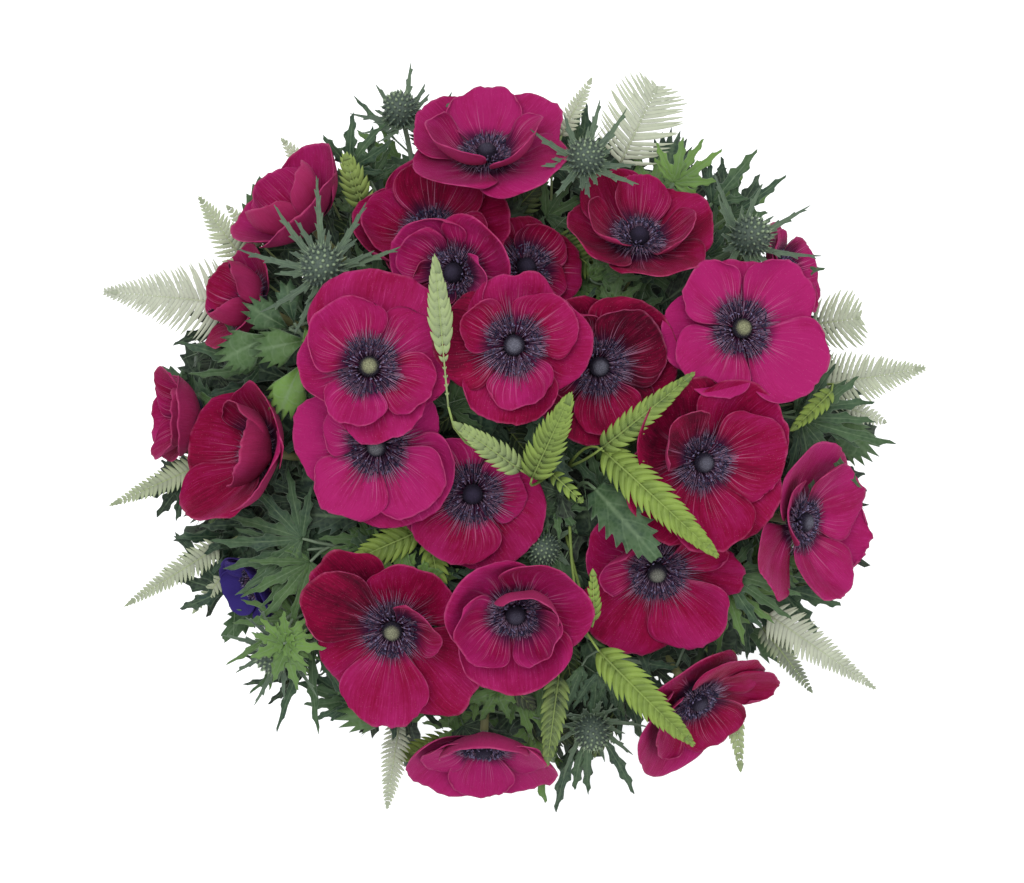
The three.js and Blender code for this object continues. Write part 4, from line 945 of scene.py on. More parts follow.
# ------------------------------------------------------------------ the anemones
def petal_point(petal, s, u, look):
    """A point of a petal in the flower's own frame: s runs from its root to its tip and u across."""
    # how far the tip falls short: round, with a notch, and uneven
    tip_round = petal["round"] * abs(u) ** 2.2 * s ** 2.5
    tip_round += petal["notch"] * math.exp(-(u / 0.16) ** 2) * s ** 6
    tip_round += 0.07 * noise.noise(Vector((u * 1.9, petal["seed"], 3.0))) * s ** 4
    tip_round += 0.025 * noise.noise(Vector((u * 8, petal["seed"], 5.0))) * s ** 8
    along = s * (1 - tip_round)
    # the middle line, an arc that rises from the angle base to the angle tip
    e0 = math.radians(petal["base"])
    de = math.radians(petal["tip"] - petal["base"]) or 1e-6
    e = e0 + de * along
    out = PETAL_ROOT + petal["reach"] * (math.sin(e) - math.sin(e0)) / de
    up = petal["lift"] - petal["reach"] * (math.cos(e) - math.cos(e0)) / de
    # how wide it is there, as a share of its greatest width
    past = max(0.0, (s - WIDEST) / (1 - WIDEST))
    opening = PETAL_FOOT + (1 - PETAL_FOOT) * math.sin(math.pi / 2 * min(s / WIDEST, 1))
    share = opening * math.sqrt(1 - petal["taper"] * past * past)
    rim = s ** 2.2
    wave = math.sin(petal["waves"] * u + petal["phase"]) + 0.45 * math.sin(7.5 * u + 2.3 * petal["phase"])
    lift = look.cup * u * u * share * (0.3 + 0.7 * s) * petal["curl"]  # its sides curl up
    lift -= petal["flare"] * s ** 5  # its tip bends back
    lift += petal["tilt"] * u * share  # one side lies over its neighbour
    lift += look.ruffle * rim * wave * (0.35 + 0.65 * abs(u))
    lift += 0.5 * math.sin(9 * s + petal["phase"]) * abs(u) * s  # ripples along its sides
    lift += look.folds * s * noise.noise(Vector((u * 1.5, s * 1.8, petal["seed"])))
    lift -= 0.9 * math.exp(-(u / 0.13) ** 2) * math.sin(math.pi * min(s, 1))  # a groove down its middle
    out -= lift * math.sin(e)
    up += lift * math.cos(e)
    a = math.radians(petal["toward"] + petal["skew"] * s + petal["spread"] * share * u)
    return Vector((out * math.cos(a), out * math.sin(a), up))


def petals_of(flower, whorl, rng):
    """The measures of each petal of one whorl."""
    count, first = flower[whorl]
    shared = WHORLS[whorl]
    petals = []
    for k in range(count):
        outer = whorl == "outer"
        petal = dict(
            toward=first + 360 / count * k + rng.uniform(-3, 3),
            spread=(180 / count) * (rng.uniform(1.22, 1.36) if outer else rng.uniform(0.98, 1.12)),
            reach=flower["reach"] * shared["reach"] * rng.uniform(0.96, 1.05) * flower.get("grow", 1.0),
            base=flower["base"] + shared["rise"],
            tip=flower["tip"] + shared["rise"],
            lift=shared["lift"],
            round=rng.uniform(0.12, 0.18),
            taper=rng.uniform(0.42, 0.56),
            phase=rng.uniform(0, 6.28),
            waves=rng.uniform(1.6, 3.4),
            tilt=rng.uniform(1.0, 1.7),
            curl=rng.uniform(0.5, 1.1) * (0.6 if outer else 1.0),
            flare=rng.uniform(-1.0, 3.0),
            skew=rng.uniform(-5, 5),
            notch=rng.choice((0.0, 0.0, 0.015, 0.035)),
            # a random step of tone; odd sets lower values to paint shade on petals that lie in shadow
            shade=rng.uniform(-0.18, 0.18),
            seed=rng.uniform(0, 90),
        )
        petal.update(flower.get("odd", {}).get(f"{whorl}{k}", {}))
        petal["spread"] = min(petal["spread"], MOST_SPREAD)
        petals.append(petal)
    return petals


def petals(flower, name, look, finish, rng):
    """Both whorls of a flower's petals. near is how far out a point is, in radii of the disc."""
    shape = Shape("across", "along", "tone", "back", "near", "seed", "violet")
    place = standing(flower["root"], flower["axis"])
    centre, axis = flower["root"] * MM, flower["axis"]

    def near(vert):
        away = vert.co - centre
        return (away - axis * away.dot(axis)).length / (DISC_R * MM)

    for whorl in ("outer", "inner"):
        for petal in petals_of(flower, whorl, rng):
            shape.grid(
                22, 24, lambda u, v: place @ petal_point(petal, v, -u, look), look.petal_thickness / MM,
                tone=flower["tone"] + petal["shade"], seed=petal["seed"], violet=flower.get("violet", 0),
                near=near)
    shape.finish(f"{name}_petals", finish, "petal", f"{name}_bloom")


def boss(flower, name, finish, rng):
    """The knob in the middle of a flower, beaded with carpels, on a flat dark cup."""
    shape = Shape("across", "along", "tone")
    place = standing(flower["root"], flower["axis"])
    seat = place @ Matrix.Translation((0, 0, BOSS_UP)) @ Matrix.Diagonal((BOSS_R, BOSS_R, BOSS_R, 1))
    foot = flower["root"] * MM
    shape.ball(
        seat, 28, 16, tone=flower["boss"],
        along=lambda vert: max(0.0, ((vert.co - foot).dot(flower["axis"]) / MM - BOSS_UP) / BOSS_R))
    cup = place @ Matrix.Translation((0, 0, 0.2)) @ Matrix.Diagonal((8.5, 8.5, 1.6, 1))
    shape.ball(cup, 20, 6, tone=0.0, along=0.0)
    for k in range(CARPELS):
        level = (k + 0.5) / CARPELS
        out = on_spiral(k, level)
        at = place @ (UP * BOSS_UP + out * CARPEL_OUT)
        bead = standing(at, place.to_3x3() @ out) @ Matrix.Diagonal((0.3, 0.3, rng.uniform(0.45, 0.9), 1))
        shape.ball(bead, 5, 3, tone=flower["boss"], along=0.15 + 0.85 * level)
    shape.finish(f"{name}_boss", finish, "petal")


def stamens(flower, name, look, finish, rng):
    """Loose rings of stamens: the inner ones stand up against the boss, the outer ones splay."""
    shape = Shape("across", "along", "anther", "tone")
    place = standing(flower["root"], flower["axis"])
    reach = DISC_R * (1.1 - flower["tip"] / 200)
    count = look.stamens
    for k in range(count):
        a = GOLDEN * k + rng.uniform(-0.12, 0.12)
        share = math.sqrt((k + 0.5) / count)
        out = ANTHER_RING + (reach - ANTHER_RING) * share + rng.uniform(-0.7, 0.5)
        up = ANTHER_UP - 3.0 * share ** 2 + rng.uniform(-0.8, 0.8)
        way = turned(math.degrees(a))
        foot = way * (4.2 + 1.2 * share) + UP * (3.0 - 1.6 * share)
        top = way * out + UP * up
        knee = foot.lerp(top, 0.5) + UP * 1.1
        points = [place @ p for p in (foot, knee, top)]
        tone = 0.85 * rng.random() ** 2.4
        if share < 0.45 and k % 2 == 0:  # every other one near the boss is pale
            tone = 1.6
        shape.stalk(points, (0.16, 0.11), sides=3, anther=0.0, tone=tone)
        ahead = (points[2] - points[1]).normalized()
        across = ahead.cross(flower["axis"]).normalized()
        axis = (ahead * 0.5 + across * rng.uniform(-1, 1) + flower["axis"] * rng.uniform(0.1, 0.8)).normalized()
        size = rng.uniform(0.85, 1.25)
        seat = standing(points[2], axis) @ Matrix.Diagonal((0.46 * size, 0.38 * size, 0.95 * size, 1))
        shape.ball(seat, 5, 4, anther=1.0, tone=tone)
    for k in range(look.hairs):  # fine threads that fan out past the anthers
        way = turned(k * 360 / look.hairs + rng.uniform(-1.2, 1.2))
        out = reach * rng.uniform(1.0, 1.62)
        line = ((0.45, 5.2), (0.75, 7.4), (1.0, 6.0 + rng.uniform(-0.6, 2.4)))
        points = [place @ (way * out * share + UP * up) for share, up in line]
        shape.stalk(points, (0.15, 0.06), sides=3, anther=0.0, tone=rng.uniform(0.2, 1.6))
    shape.finish(f"{name}_stamens", finish, "petal")


# ------------------------------------------------------------------ the greenery
def rib_of(leaf):
    """The line and its direction along the middle of a leaf."""
    base, tip = Vector(leaf["base"]), Vector(leaf["tip"])
    middle = (base + tip) * 0.5 + UP * 2 * leaf["arch"]

    def point(t):
        return base * (1 - t) ** 2 + middle * (2 * t * (1 - t)) + tip * t * t

    def direction(t):
        return ((middle - base) * (1 - t) + (tip - middle) * t).normalized()

    return point, direction


def fern_blade(shape, leaf, rng):
    """A fern's blade: a slim rib, and on each side a row of leaflets that shorten to its tip."""
    point, direction = rib_of(leaf)
    length = (Vector(leaf["tip"]) - Vector(leaf["base"])).length
    pitch = leaf.get("pitch", 2.6 if leaf["lace"] else 3.9)
    pairs = max(5, round(length / pitch))
    step = length / pairs
    pale, tone = leaf["pale"], leaf["tone"]
    for k in range(pairs):
        t = (k + 0.35) / pairs
        ahead = direction(t)
        across = Quaternion(ahead, math.radians(leaf.get("roll", 0))) @ ahead.cross(UP).normalized()
        over = across.cross(ahead)
        half = leaf["width"] / 2 * min(1, 0.8 + t) * (1 - 0.95 * t ** leaf.get("taper", 1.7)) + 0.3
        sweep = math.radians(20 + 24 * t ** 1.5 if leaf["lace"] else 30 + 34 * t ** 1.5)
        if "late" in leaf:
            half *= min(1, max(0.12, (t - leaf["late"]) * 4))
        for hand in (-1, 1):
            lean = sweep + rng.uniform(-0.06, 0.06)
            out = across * hand * math.cos(lean) + ahead * math.sin(lean)
            along = ahead * math.cos(lean) - across * hand * math.sin(lean)
            reach = half / math.cos(lean) * rng.uniform(0.93, 1.04)
            if reach < LEAST_LEAFLET:
                continue
            breadth = min(step * (0.52 if leaf["lace"] else 0.6), 0.33 * reach)
            droop = rng.uniform(0.02, 0.09) * reach
            root = point(t)
            cuts = max(3, round(reach / 1.6))
            blunt = 2.4 if leaf["lace"] else 1.6

            def place(u, v):
                wide = (1 - v ** blunt) ** 0.8
                if leaf["lace"]:
                    wide *= 1 - 0.6 * leaf["lace"] * ((cuts * v + 0.5 * (u > 0)) % 1) * abs(u)
                fold = 0.07 * breadth * (u * hand) * wide
                curve = along * ((0.1 if leaf["lace"] else 0.22) * reach * v ** 2.5)
                ripple = over * (fold - droop * v * v + 0.04 * reach * math.sin(math.pi * v))
                return root + out * reach * v - along * (hand * breadth * u * wide) + curve + ripple

            rows = 3 * cuts if leaf["lace"] else 6
            shape.grid(
                2, min(rows, 16), place, LEAF_THICK, tone=tone + rng.uniform(-0.12, 0.12), pale=pale)
    shape.stalk([point(k / 10) for k in range(11)], (0.55, 0.16), sides=5, tone=tone, pale=pale, rib=1.0)
    end, ahead = point(0.9), direction(1)
    across = ahead.cross(UP).normalized()

    def last(u, v):
        return end + ahead * (0.13 * length * v) - across * (0.55 * step * u * (1 - v) ** 0.8)

    shape.grid(2, 4, last, LEAF_THICK, tone=tone, pale=pale)


def spiny_leaf(shape, leaf, rng):
    """A sea holly's leaf: oval, folded a little along its rib, with spiny teeth that point forward."""
    point, direction = rib_of(leaf)
    length = (Vector(leaf["tip"]) - Vector(leaf["base"])).length
    teeth = max(4, round(length / 6))
    lean = rng.uniform(-0.25, 0.25)
    tone = leaf["tone"] + rng.uniform(-0.08, 0.08)
    phase = rng.uniform(0, 6)

    def place(u, v):
        ahead = direction(v)
        side = ahead.cross(UP).normalized()
        over = side.cross(ahead)
        body = math.sin(math.pi * (0.12 + 0.84 * v) ** 0.85) ** 0.8
        saw = (v * teeth + 0.15 * math.copysign(1, u)) % 1
        tooth = saw ** 1.6 if saw < 0.8 else (1 - saw) / 0.2
        edge = abs(u) ** 4
        wide = leaf["width"] / 2 * body * (1 + edge * (0.55 * tooth - 0.28))
        forward = edge * tooth * length / teeth * 0.55 * (1 - 0.5 * v)
        fold = abs(u) * (0.16 + lean * math.copysign(0.4, u)) * wide
        ripple = 0.9 * math.sin(2 * math.pi * teeth * 0.5 * v + phase) * abs(u)
        return point(v) + side * (wide * u) + ahead * forward + over * (fold + ripple)

    shape.grid(6, teeth * 7, place, LEAF_THICK * 1.3, tone=tone)


def fan_leaf(shape, leaf, rng):
    """A sea holly's leaf: a fan that is cut into long spines round its outer edge."""
    point, direction = rib_of(leaf)
    base = point(0)
    ahead = direction(0.3)
    side = ahead.cross(UP).normalized()
    over = side.cross(ahead)
    length = (point(1) - base).length
    half = math.atan2(leaf["width"] / 2, length * 0.55)
    columns = 2 * max(4, round(leaf["width"] / 2.7))
    spines = [rng.uniform(0.8, 1.3) for _ in range(columns + 1)]
    bow = rng.uniform(0.5, 1.2)

    def place(u, v):
        a = half * u * (0.55 + 0.45 * v)
        out = length * (1 - 0.36 * abs(u) ** 1.7)
        if v > 0.99:
            k = round((u + 1) / 2 * columns)
            out *= 1 + (0.1 * spines[k] if k % 2 else -0.12)
        flat = side * math.sin(a) + ahead * math.cos(a)
        lift = leaf["arch"] * bow * math.sin(math.pi * v) + length * 0.1 * abs(u) * v - length * 0.12 * v * v
        return base + flat * (out * v) + over * lift

    tone = leaf["tone"] + rng.uniform(-0.08, 0.08)
    shape.grid(columns, 8, place, LEAF_THICK * 1.3, tone=tone)


def divided_leaf(shape, leaf, rng):
    """A leaf that is cut almost to its base into narrow pointed lobes, with a few side teeth."""
    point, direction = rib_of(leaf)
    base = point(0)
    ahead = direction(0.2)
    side = ahead.cross(UP).normalized()
    over = side.cross(ahead)
    length = (point(1) - base).length
    lobes = leaf["lobes"]
    for k in range(lobes):
        fan = (k / (lobes - 1) * 2 - 1) if lobes > 1 else 0.0
        a = math.radians(leaf.get("fan", 0)) * fan + rng.uniform(-0.12, 0.12)
        way = ahead * math.cos(a) + side * math.sin(a)
        beside = way.cross(over).normalized()
        long = length * (1 - 0.38 * abs(fan) ** 1.5) * rng.uniform(0.85, 1.1)
        half = leaf["width"] * 0.5 * rng.uniform(0.85, 1.2) * (0.6 + 0.4 * long / length)
        bend = rng.uniform(-0.35, 0.15) * long
        drift = rng.uniform(-0.12, 0.12) * long
        shift = rng.uniform(0, 1)

        def place(u, v):
            body = (0.25 + 0.75 * math.sin(math.pi * min(1, v / 0.55) / 2)) * (1 - v ** 2.2)
            saw = (v * 3.4 + shift + 0.4 * (u > 0)) % 1
            tooth = max(0.0, 1 - abs(saw - 0.7) / 0.3) * min(1, 4 * v) * (1 - v) ** 0.4
            edge = abs(u) ** 3
            wide = half * (body + 0.75 * edge * (tooth - 0.2 * body))
            reach = long * (v + 0.06 * edge * tooth)
            lift = bend * v * v + leaf["arch"] * math.sin(math.pi * v) * 0.6 + abs(u) * 0.35 * half * body
            return base + way * reach + beside * (wide * u + drift * v * v) + over * lift

        shape.grid(4, 20, place, LEAF_THICK * 1.2, tone=leaf["tone"] + rng.uniform(-0.12, 0.12))


def bract(shape, spec, k, place, rng):
    """One of the ruff of narrow spiny bracts under a sea holly's head."""
    way = turned(spec["turn"] + 360 / spec["bracts"] * k + rng.uniform(-12, 12))
    side = Vector((-way.y, way.x, 0))
    long = spec["bract"] * (0.78 if k % 2 else 1) * rng.uniform(0.8, 1.08)
    foot = way * spec["radius"] * 0.5 - UP * spec["radius"] * 0.6
    spines = max(2, round(long / 8))
    rise = rng.uniform(0.8, 1.15)
    sway = rng.uniform(-0.14, 0.14) * long

    def line(u, v):
        body = (0.9 + 0.6 * v) * (1 - v) ** 0.85
        saw = (v * spines + 0.2 * math.copysign(1, u)) % 1
        tooth = max(0.0, 1 - abs(saw - 0.7) / 0.2) if 0.1 < v < 0.9 else 0
        edge = abs(u) ** 4
        wide = 1.95 * body + 1.4 * edge * tooth * (1 - 0.5 * v)
        ahead = long * v + edge * tooth * long * 0.08
        lift = long * (0.42 * rise * v ** 1.6) + 0.8 * abs(u) * body
        return place @ (foot + way * ahead + side * (sway * v * v - wide * u) + UP * lift)

    shape.grid(4, spines * 10, line, LEAF_THICK * 1.3, tone=rng.uniform(0.0, 0.2), rib=0.32)


LEAVES = {"fern": fern_blade, "oval": spiny_leaf, "fan": fan_leaf, "divided": divided_leaf}


def lobed(leaf):
    """The leaf, with the width of a lobe for that of a whole divided leaf."""
    if leaf["kind"] != "divided":
        return leaf
    return {"lobes": 7, "fan": 80, **leaf, "width": leaf["width"] * LOBE_SHARE}


def sea_holly_head(spec, shape, cone, rng):
    """A cone of florets over a ruff of bracts. along runs from between the florets to their tips."""
    place = standing(Vector(spec["at"]), leaning(spec["lean"], spec["toward"]))
    radius = spec["radius"]
    cone.ball(place @ Matrix.Diagonal((radius * 0.86, radius * 0.86, radius, 1)), 16, 12, along=0.05)

    def tip(vert):
        reach = (vert.co - place.translation * MM).length / (radius * MM)
        return min(1.0, max(0.0, (reach - 0.98) * 5.5))

    for k in range(FLORETS):
        out = on_spiral(k, 1 - 1.75 * (k + 0.5) / FLORETS)
        at = Vector((out.x * radius * 0.84, out.y * radius * 0.84, out.z * radius * 0.98))
        tall = radius * 0.2 * rng.uniform(0.85, 1.15)
        way = (out + UP * 0.3).normalized()
        seat = place @ standing(at, way) @ Matrix.Diagonal((0.092 * radius, 0.092 * radius, tall, 1))
        cone.ball(seat, 6, 5, along=tip)
        cone.spike(seat @ Matrix.Diagonal((0.3, 0.3, 1.7, 1)), 4, along=1.0)
    for k in range(spec["bracts"]):
        if k != spec.get("missing"):  # one bract is lost where a petal presses on the ruff
            bract(shape, spec, k, place, rng)
    for k in range(spec["bracts"]):  # a shorter row between them
        short = dict(spec, bract=spec["bract"] * 0.5, turn=spec["turn"] + 180 / spec["bracts"])
        bract(shape, short, k, place, rng)


def side_stalk(shape, start, leaf_base, arriving, radii, **values):
    """The stalk of one leaf or head, from the stem or stalk that it grows on."""
    leaving = ((leaf_base - start).normalized() + UP).normalized()
    points = [start] + bezier(start, leaving, leaf_base, arriving, BRANCH_BOW, 8)
    shape.stalk(points, radii, sides=6, **values)


def joints_of(plant):
    """Where the branches leave a plant's stalk, down from its fork."""
    below, fork = stalk_points(plant, 2)[-2:]
    down = (below - fork).normalized()
    k = 0
    while True:
        yield fork + down * (0.5 + BRANCH_STEP * k)
        k += 1


def fern_frond(plant, name, finish, stem, rng):
    """A fern's stalk, branches and blades."""
    shape = Shape("across", "along", "tone", "back", "pale", "rib")
    for leaf in plant["blades"]:
        fern_blade(shape, leaf, rng)
    joints = joints_of(plant)
    for leaf in plant["blades"]:
        arriving = rib_of(leaf)[1](0)
        side_stalk(shape, next(joints), Vector(leaf["base"]), arriving, (1.0, 0.55),
                   tone=leaf["tone"] * 0.7, pale=leaf["pale"] * 0.4, rib=0.6)
    shape.finish(f"{name}_leaves", finish, "fern", name)
    main = Shape("across", "along")
    main.stalk(stalk_points(plant, 12), (2.2, 1.5), sides=10, level=True)
    main.finish(f"{name}_stalk", stem, "fern")


def sea_holly(plant, name, finish, cone_look, stem, rng):
    """A sea holly's stalk, branches, heads and leaves."""
    shape = Shape("across", "along", "tone", "back", "rib")
    cone = Shape("across", "along")
    for spec in plant["heads"]:
        sea_holly_head(spec, shape, cone, rng)
    for leaf in plant["leaves"]:
        LEAVES[leaf["kind"]](shape, lobed(leaf), rng)
    joints = joints_of(plant)
    for spec in plant["heads"]:
        axis = leaning(spec["lean"], spec["toward"])
        seat = Vector(spec["at"]) - axis * spec["radius"] * 0.8
        side_stalk(shape, next(joints), seat, axis, (1.7, 1.4), tone=0.3, rib=0.3)
    for leaf in plant["leaves"]:
        side_stalk(shape, next(joints), Vector(leaf["base"]), rib_of(leaf)[1](0), (1.2, 0.8), tone=0.4, rib=0.3)
    shape.finish(f"{name}_leaves", finish, "holly", name)
    if plant["heads"]:
        cone.finish(f"{name}_cones", cone_look, "holly")
    main = Shape("across", "along")
    main.stalk(stalk_points(plant, 12), (2.5, 1.9), sides=10, level=True)
    main.finish(f"{name}_stalk", stem, "holly")


# ------------------------------------------------------------------ foliage between the flowers
DOME_TOP = 306
DOME_FALL = 88  # from the dome's top to its rim
DOME_REACH = 200
PETAL_MARGIN = 9  # how far past a flower's reach foliage still keeps under its petals
HEART_R = 9  # round a flower's axis, where foliage keeps further down
UNDER_PETALS = 5
UNDER_HEART = 9
LOWEST_BRANCH = 175
BRANCH_CLIMB = 12  # how far under its leaf a branch leaves the stem, at least
PRESSED = 0.12  # how much of its height over the ceiling a bent leaf keeps, turned down


@lru_cache(maxsize=None)
def ceiling(x, y):
    """How high foliage may stand there: under the flowers' dome, and under any petals."""
    r = math.hypot(x, y)
    height = DOME_TOP - DOME_FALL * (r / DOME_REACH) ** 2
    for flower in FLOWERS:
        root, axis = flower["root"], flower["axis"]
        dx, dy = x - root.x, y - root.y
        plane = root.z - (axis.x * dx + axis.y * dy) / axis.z
        away = Vector((dx, dy, plane - root.z)).length
        if away < flower["reach"] + PETAL_MARGIN:
            drop = UNDER_PETALS if away > HEART_R else UNDER_HEART
            height = min(height, plane - drop)
    return height


def nearest_stem(point, stems):
    """The stem point that a side leaf at the given point would grow from."""
    best = None
    for path in stems:
        for p in path:
            if LOWEST_BRANCH < p.z < point.z - BRANCH_CLIMB:
                far = (p - point).length + 0.3 * (point.z - p.z)
                if best is None or far < best[0]:
                    best = (far, p)
    return best[1] if best else UP * (LOWEST_BRANCH + 5)


def filling_spots(count, reach, rng):
    """Spots spread evenly over the posy's outline, seen from above."""
    for k in range(count):
        a = k * GOLDEN
        r = math.sqrt((k + 0.5) / count) * reach
        yield r * math.cos(a) * 1.03 + rng.uniform(-6, 6), r * math.sin(a) * 0.95 + rng.uniform(-6, 6)


def filling_leaf(x, y, length, depth, slope, rng):
    """A leaf round a spot, at the given depth under the flowers."""
    outward = math.degrees(math.atan2(y, x)) + rng.uniform(-70, 70)
    way = turned(outward)
    base = Vector((x, y, 0)) - way * length * 0.5
    tip = Vector((x, y, 0)) + way * length * 0.5
    base.z = ceiling(round(base.x), round(base.y)) - depth - slope
    tip.z = ceiling(round(tip.x), round(tip.y)) - depth
    return dict(base=base, tip=tip, arch=rng.uniform(2, 6), pale=rng.uniform(0, 0.12), lace=0, pitch=3.4)


def upper_leaf(x, y, rng):
    """One of the leaves that close the gaps between the flowers."""
    kind = rng.choices(("divided", "fern", "oval", "fan"), (0.55, 0.2, 0.13, 0.12))[0]
    leaf = filling_leaf(x, y, rng.uniform(28, 42), rng.uniform(3, 16), 12, rng)
    # most get a low tone, often below 0, which darkens them with painted shade as they lie deep between the flowers;
    # a few are bright
    tone = rng.uniform(-0.45, 0.25) if rng.random() < 0.85 else rng.uniform(0.3, 0.8)
    wide = {"divided": (6, 10), "fern": (16, 24), "oval": (13, 18), "fan": (18, 24)}[kind]
    leaf.update(kind=kind, tone=tone, width=rng.uniform(*wide))
    leaf.update(lobes=rng.choice((5, 5, 7)), fan=rng.uniform(55, 85))
    return leaf


def lower_leaf(x, y, rng):
    """One of the big leaves underneath, darkened with painted shade."""
    kind = rng.choice(("divided", "oval", "oval"))
    leaf = filling_leaf(x, y, rng.uniform(52, 72), rng.uniform(26, 44), 10, rng)
    wide = (13, 18) if kind == "divided" else (30, 40)
    # a tone below 0 paints them in shade, as they lie deep under the flowers
    leaf.update(kind=kind, tone=rng.uniform(-0.8, -0.2), width=rng.uniform(*wide), lobes=5, fan=65)
    return leaf


def bend_clear(verts):
    """Bends leaves down where they would reach into the flowers."""
    for vert in verts:
        top = ceiling(round(vert.co.x / MM), round(vert.co.y / MM)) * MM
        if vert.co.z > top:
            vert.co.z = top - (vert.co.z - top) * PRESSED


# ------------------------------------------------------------------ operators
# In metres. share: how much of the key light's power a lamp has.
FLOOR_HALF = 4
LIT_POINT = Vector((0, 0, 0.28))
LIGHTS = (  # name, place, size, share
    ("softbox", (-0.25, 0.45, 2.4), 1.5, 1.0),
    ("fill", (1.4, -1.2, 1.8), 1.6, 0.3),
)


class POSY_OT_anemones(Operator):
    """Builds each anemone's petals, boss and stamens"""

    bl_idname = "posy.anemones"
    bl_label = "Anemones"

    def execute(self, context):
        look = context.scene.posy_blooms
        velvet, threads, knob = petal_finish(look), stamen_finish(look), boss_finish()
        for k, flower in enumerate(FLOWERS):
            rng = random.Random(SEEDS["anemones"] + k)
            name = f"anemone_{k + 1:02d}"
            petals(flower, name, look, velvet, rng)
            boss(flower, name, knob, rng)
            stamens(flower, name, look, threads, rng)
        return {"FINISHED"}


class POSY_OT_stems(Operator):
    """Builds the anemones' stems"""

    bl_idname = "posy.stems"
    bl_label = "Stems"

    def execute(self, context):
        look = context.scene.posy_greens
        finish = stem_finish(look)
        foot = look.stem_radius / MM
        for k, flower in enumerate(FLOWERS):
            shape = Shape("across", "along")
            points = stalk_points(flower, 14)
            shape.stalk(points, (foot, foot * 0.85), sides=12, level=True)
            name = f"anemone_{k + 1:02d}_stem"
            shape.finish(f"{name}_round", finish, "stem", name)
        return {"FINISHED"}


class POSY_OT_ferns(Operator):
    """Builds the fern fronds"""

    bl_idname = "posy.ferns"
    bl_label = "Ferns"

    def execute(self, context):
        look = context.scene.posy_greens
        finish, stem = fern_finish("fern_leaf", look), stem_finish(look)
        for k, plant in enumerate(FERNS):
            fern_frond(plant, f"fern_frond_{k + 1}", finish, stem, random.Random(SEEDS["ferns"] + k))
        return {"FINISHED"}


class POSY_OT_sea_holly(Operator):
    """Builds the sea holly's heads, bracts and leaves"""

    bl_idname = "posy.sea_holly"
    bl_label = "Sea holly"

    def execute(self, context):
        look = context.scene.posy_greens
        finish, cone, stem = holly_finish(look), cone_finish(), stem_finish(look)
        for k, plant in enumerate(SPRAYS):
            sea_holly(plant, f"sea_holly_{k + 1}", finish, cone, stem, random.Random(SEEDS["sea_holly"] + k))
        return {"FINISHED"}


class POSY_OT_filling(Operator):
    """Fills the gaps between the flowers with side leaves of the fern and the sea holly"""

    bl_idname = "posy.filling"
    bl_label = "Filling"

    def execute(self, context):
        look = context.scene.posy_greens
        finishes = {"fern": fern_finish("filling_fern", look), "holly": holly_finish(look)}
        stems = [stalk_points(head, 14) for head in FLOWERS + FERNS + SPRAYS]
        rng = random.Random(SEEDS["filling"])
        layers = {
            "young": [dict(leaf, kind="divided") for leaf in YOUNG_LEAVES],
            "upper": [upper_leaf(x, y, rng) for x, y in filling_spots(*FILLING["upper"], rng)],
            "lower": [lower_leaf(x, y, rng) for x, y in filling_spots(*FILLING["lower"], rng)],
        }
        for layer, leaves in layers.items():
            fern = Shape("across", "along", "tone", "back", "pale", "rib")
            holly = Shape("across", "along", "tone", "back", "rib")
            for leaf in leaves:
                shape = fern if leaf["kind"] == "fern" else holly
                LEAVES[leaf["kind"]](shape, leaf, rng)
                base = Vector(leaf["base"])
                start = nearest_stem(base, stems)
                arriving = rib_of(leaf)[1](0)
                side_stalk(shape, start, base, arriving, (0.9, 0.55), tone=0.2, rib=0.2)
            for kind, shape in (("fern", fern), ("holly", holly)):
                bend_clear(shape.bm.verts)
                if shape.bm.verts:
                    shape.finish(f"{layer}_{kind}_leaves", finishes[kind], kind)
        tendrils = Shape("across", "along", "tone", "back", "rib")
        for x, y in filling_spots(*FILLING["tendrils"], rng):
            leaf = filling_leaf(x, y, rng.uniform(24, 44), rng.uniform(1, 7), 14, rng)
            point = rib_of(dict(leaf, arch=rng.uniform(3, 9)))[0]
            line = [point(k / 8) for k in range(9)]
            tendrils.stalk(line, (0.45, 0.12), sides=4, tone=rng.uniform(0.1, 0.6), rib=rng.uniform(0.1, 0.8))
            start, arriving = nearest_stem(line[0], stems), (line[1] - line[0]).normalized()
            side_stalk(tendrils, start, line[0], arriving, (0.8, 0.45), tone=0.2, rib=0.2)
        bend_clear(tendrils.bm.verts)
        tendrils.finish("tendrils", finishes["holly"], "holly")
        return {"FINISHED"}


class POSY_OT_tie(Operator):
    """Winds the twine round the stems"""

    bl_idname = "posy.tie"
    bl_label = "Tie"

    def execute(self, context):
        look = context.scene.posy_greens
        middle = RINGS[-1]["radius"] + look.stem_radius / MM + TIE_GAP + TIE_THICK / 2
        shape = Shape("across", "along")
        steps = 150
        for strand in range(STRANDS):
            points = []
            for k in range(steps + 1):
                t = k / steps
                a = 2 * math.pi * TIE_TURNS * t
                spin = 2 * math.pi * (STRAND_TWISTS * t + strand / STRANDS)
                out = middle + STRAND_OUT * math.cos(spin)
                z = TIE_Z + (t - 0.5) * TIE_THICK * TIE_TURNS * TIE_PITCH + STRAND_OUT * math.sin(spin)
                points.append(Vector((out * math.cos(a), out * math.sin(a), z)))
            shape.stalk(points, (STRAND_R, STRAND_R), sides=8)
        shape.finish("tie_twine", twine_finish(look), "twine", "tie")
        return {"FINISHED"}


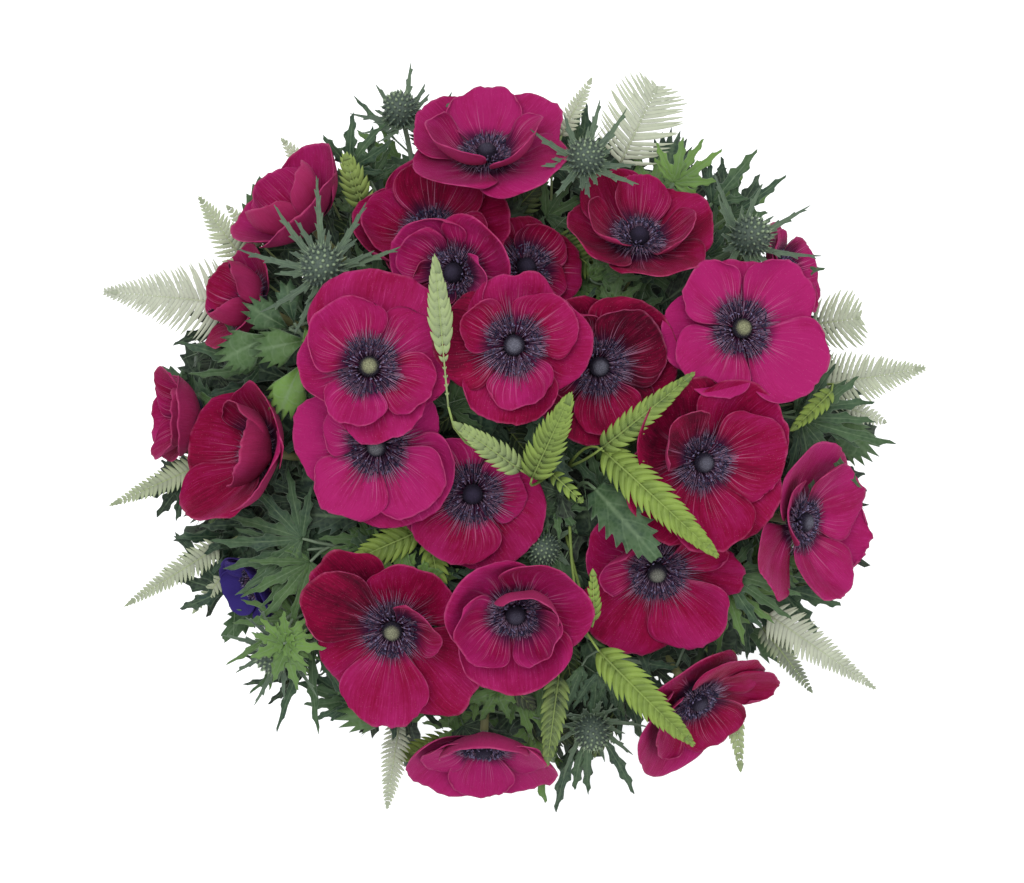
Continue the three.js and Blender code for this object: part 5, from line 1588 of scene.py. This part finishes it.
class POSY_OT_stage(Operator):
    """Sets up the floor, the light and the camera"""

    bl_idname = "posy.stage"
    bl_label = "Stage"

    def execute(self, context):
        scene, look = context.scene, context.scene.posy_stage
        bm = bmesh.new()
        bmesh.ops.create_grid(bm, x_segments=1, y_segments=1, size=FLOOR_HALF)
        mesh = bpy.data.meshes.new("studio_floor")
        bm.to_mesh(mesh)
        bm.free()
        mesh.materials.append(floor_finish(look.floor))
        floor = bpy.data.objects.new("studio_floor", mesh)
        scene.collection.objects.link(floor)
        floor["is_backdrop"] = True

        world = bpy.data.worlds.new("studio")
        world.use_nodes = True
        sky = world.node_tree.nodes["Background"]
        sky.inputs["Color"].default_value = SKY
        sky.inputs["Strength"].default_value = look.sky
        scene.world = world

        for name, at, size, share in LIGHTS:
            lamp = bpy.data.lights.new(name, "AREA")
            lamp.size = size
            lamp.energy = look.key * share
            light = bpy.data.objects.new(name, lamp)
            light.location = at
            light.rotation_euler = (LIT_POINT - Vector(at)).to_track_quat("-Z", "Y").to_euler()
            scene.collection.objects.link(light)

        lens = bpy.data.cameras.new("camera")
        lens.lens = look.focal_length
        camera = bpy.data.objects.new("camera", lens)
        camera.location = (0, 0, look.camera_height)
        scene.collection.objects.link(camera)
        scene.camera = camera
        scene.view_settings.view_transform = "Standard"
        return {"FINISHED"}


class POSY_PT_panel(Panel):
    """The posy's pieces, in the 3D view's sidebar"""

    bl_idname = "POSY_PT_panel"
    bl_label = "Anemone posy"
    bl_space_type = "VIEW_3D"
    bl_region_type = "UI"
    bl_category = "Posy"

    def draw(self, context):
        for operator in OPERATORS:
            self.layout.operator(operator.bl_idname)
        for group in (context.scene.posy_blooms, context.scene.posy_greens, context.scene.posy_stage):
            for name in group.__annotations__:
                self.layout.prop(group, name)


OPERATORS = (
    POSY_OT_stage,
    POSY_OT_anemones,
    POSY_OT_stems,
    POSY_OT_ferns,
    POSY_OT_sea_holly,
    POSY_OT_filling,
    POSY_OT_tie,
)
SETTINGS = {"posy_blooms": BloomSettings, "posy_greens": GreenSettings, "posy_stage": StageSettings}
CLASSES = (*SETTINGS.values(), *OPERATORS, POSY_PT_panel)


def register():
    for one in CLASSES:
        bpy.utils.register_class(one)
    for name, group in SETTINGS.items():
        setattr(bpy.types.Scene, name, PointerProperty(type=group))


def unregister():
    for name in SETTINGS:
        delattr(bpy.types.Scene, name)
    for one in reversed(CLASSES):
        bpy.utils.unregister_class(one)


def main():
    register()
    prepare()
    bpy.ops.posy.stage()
    bpy.ops.posy.anemones()
    bpy.ops.posy.stems()
    bpy.ops.posy.ferns()
    bpy.ops.posy.sea_holly()
    bpy.ops.posy.filling()
    bpy.ops.posy.tie()
    [[list(corner) for corner in box] for box in (CAD_BOX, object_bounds())]


if __name__ == "__main__":
    main()
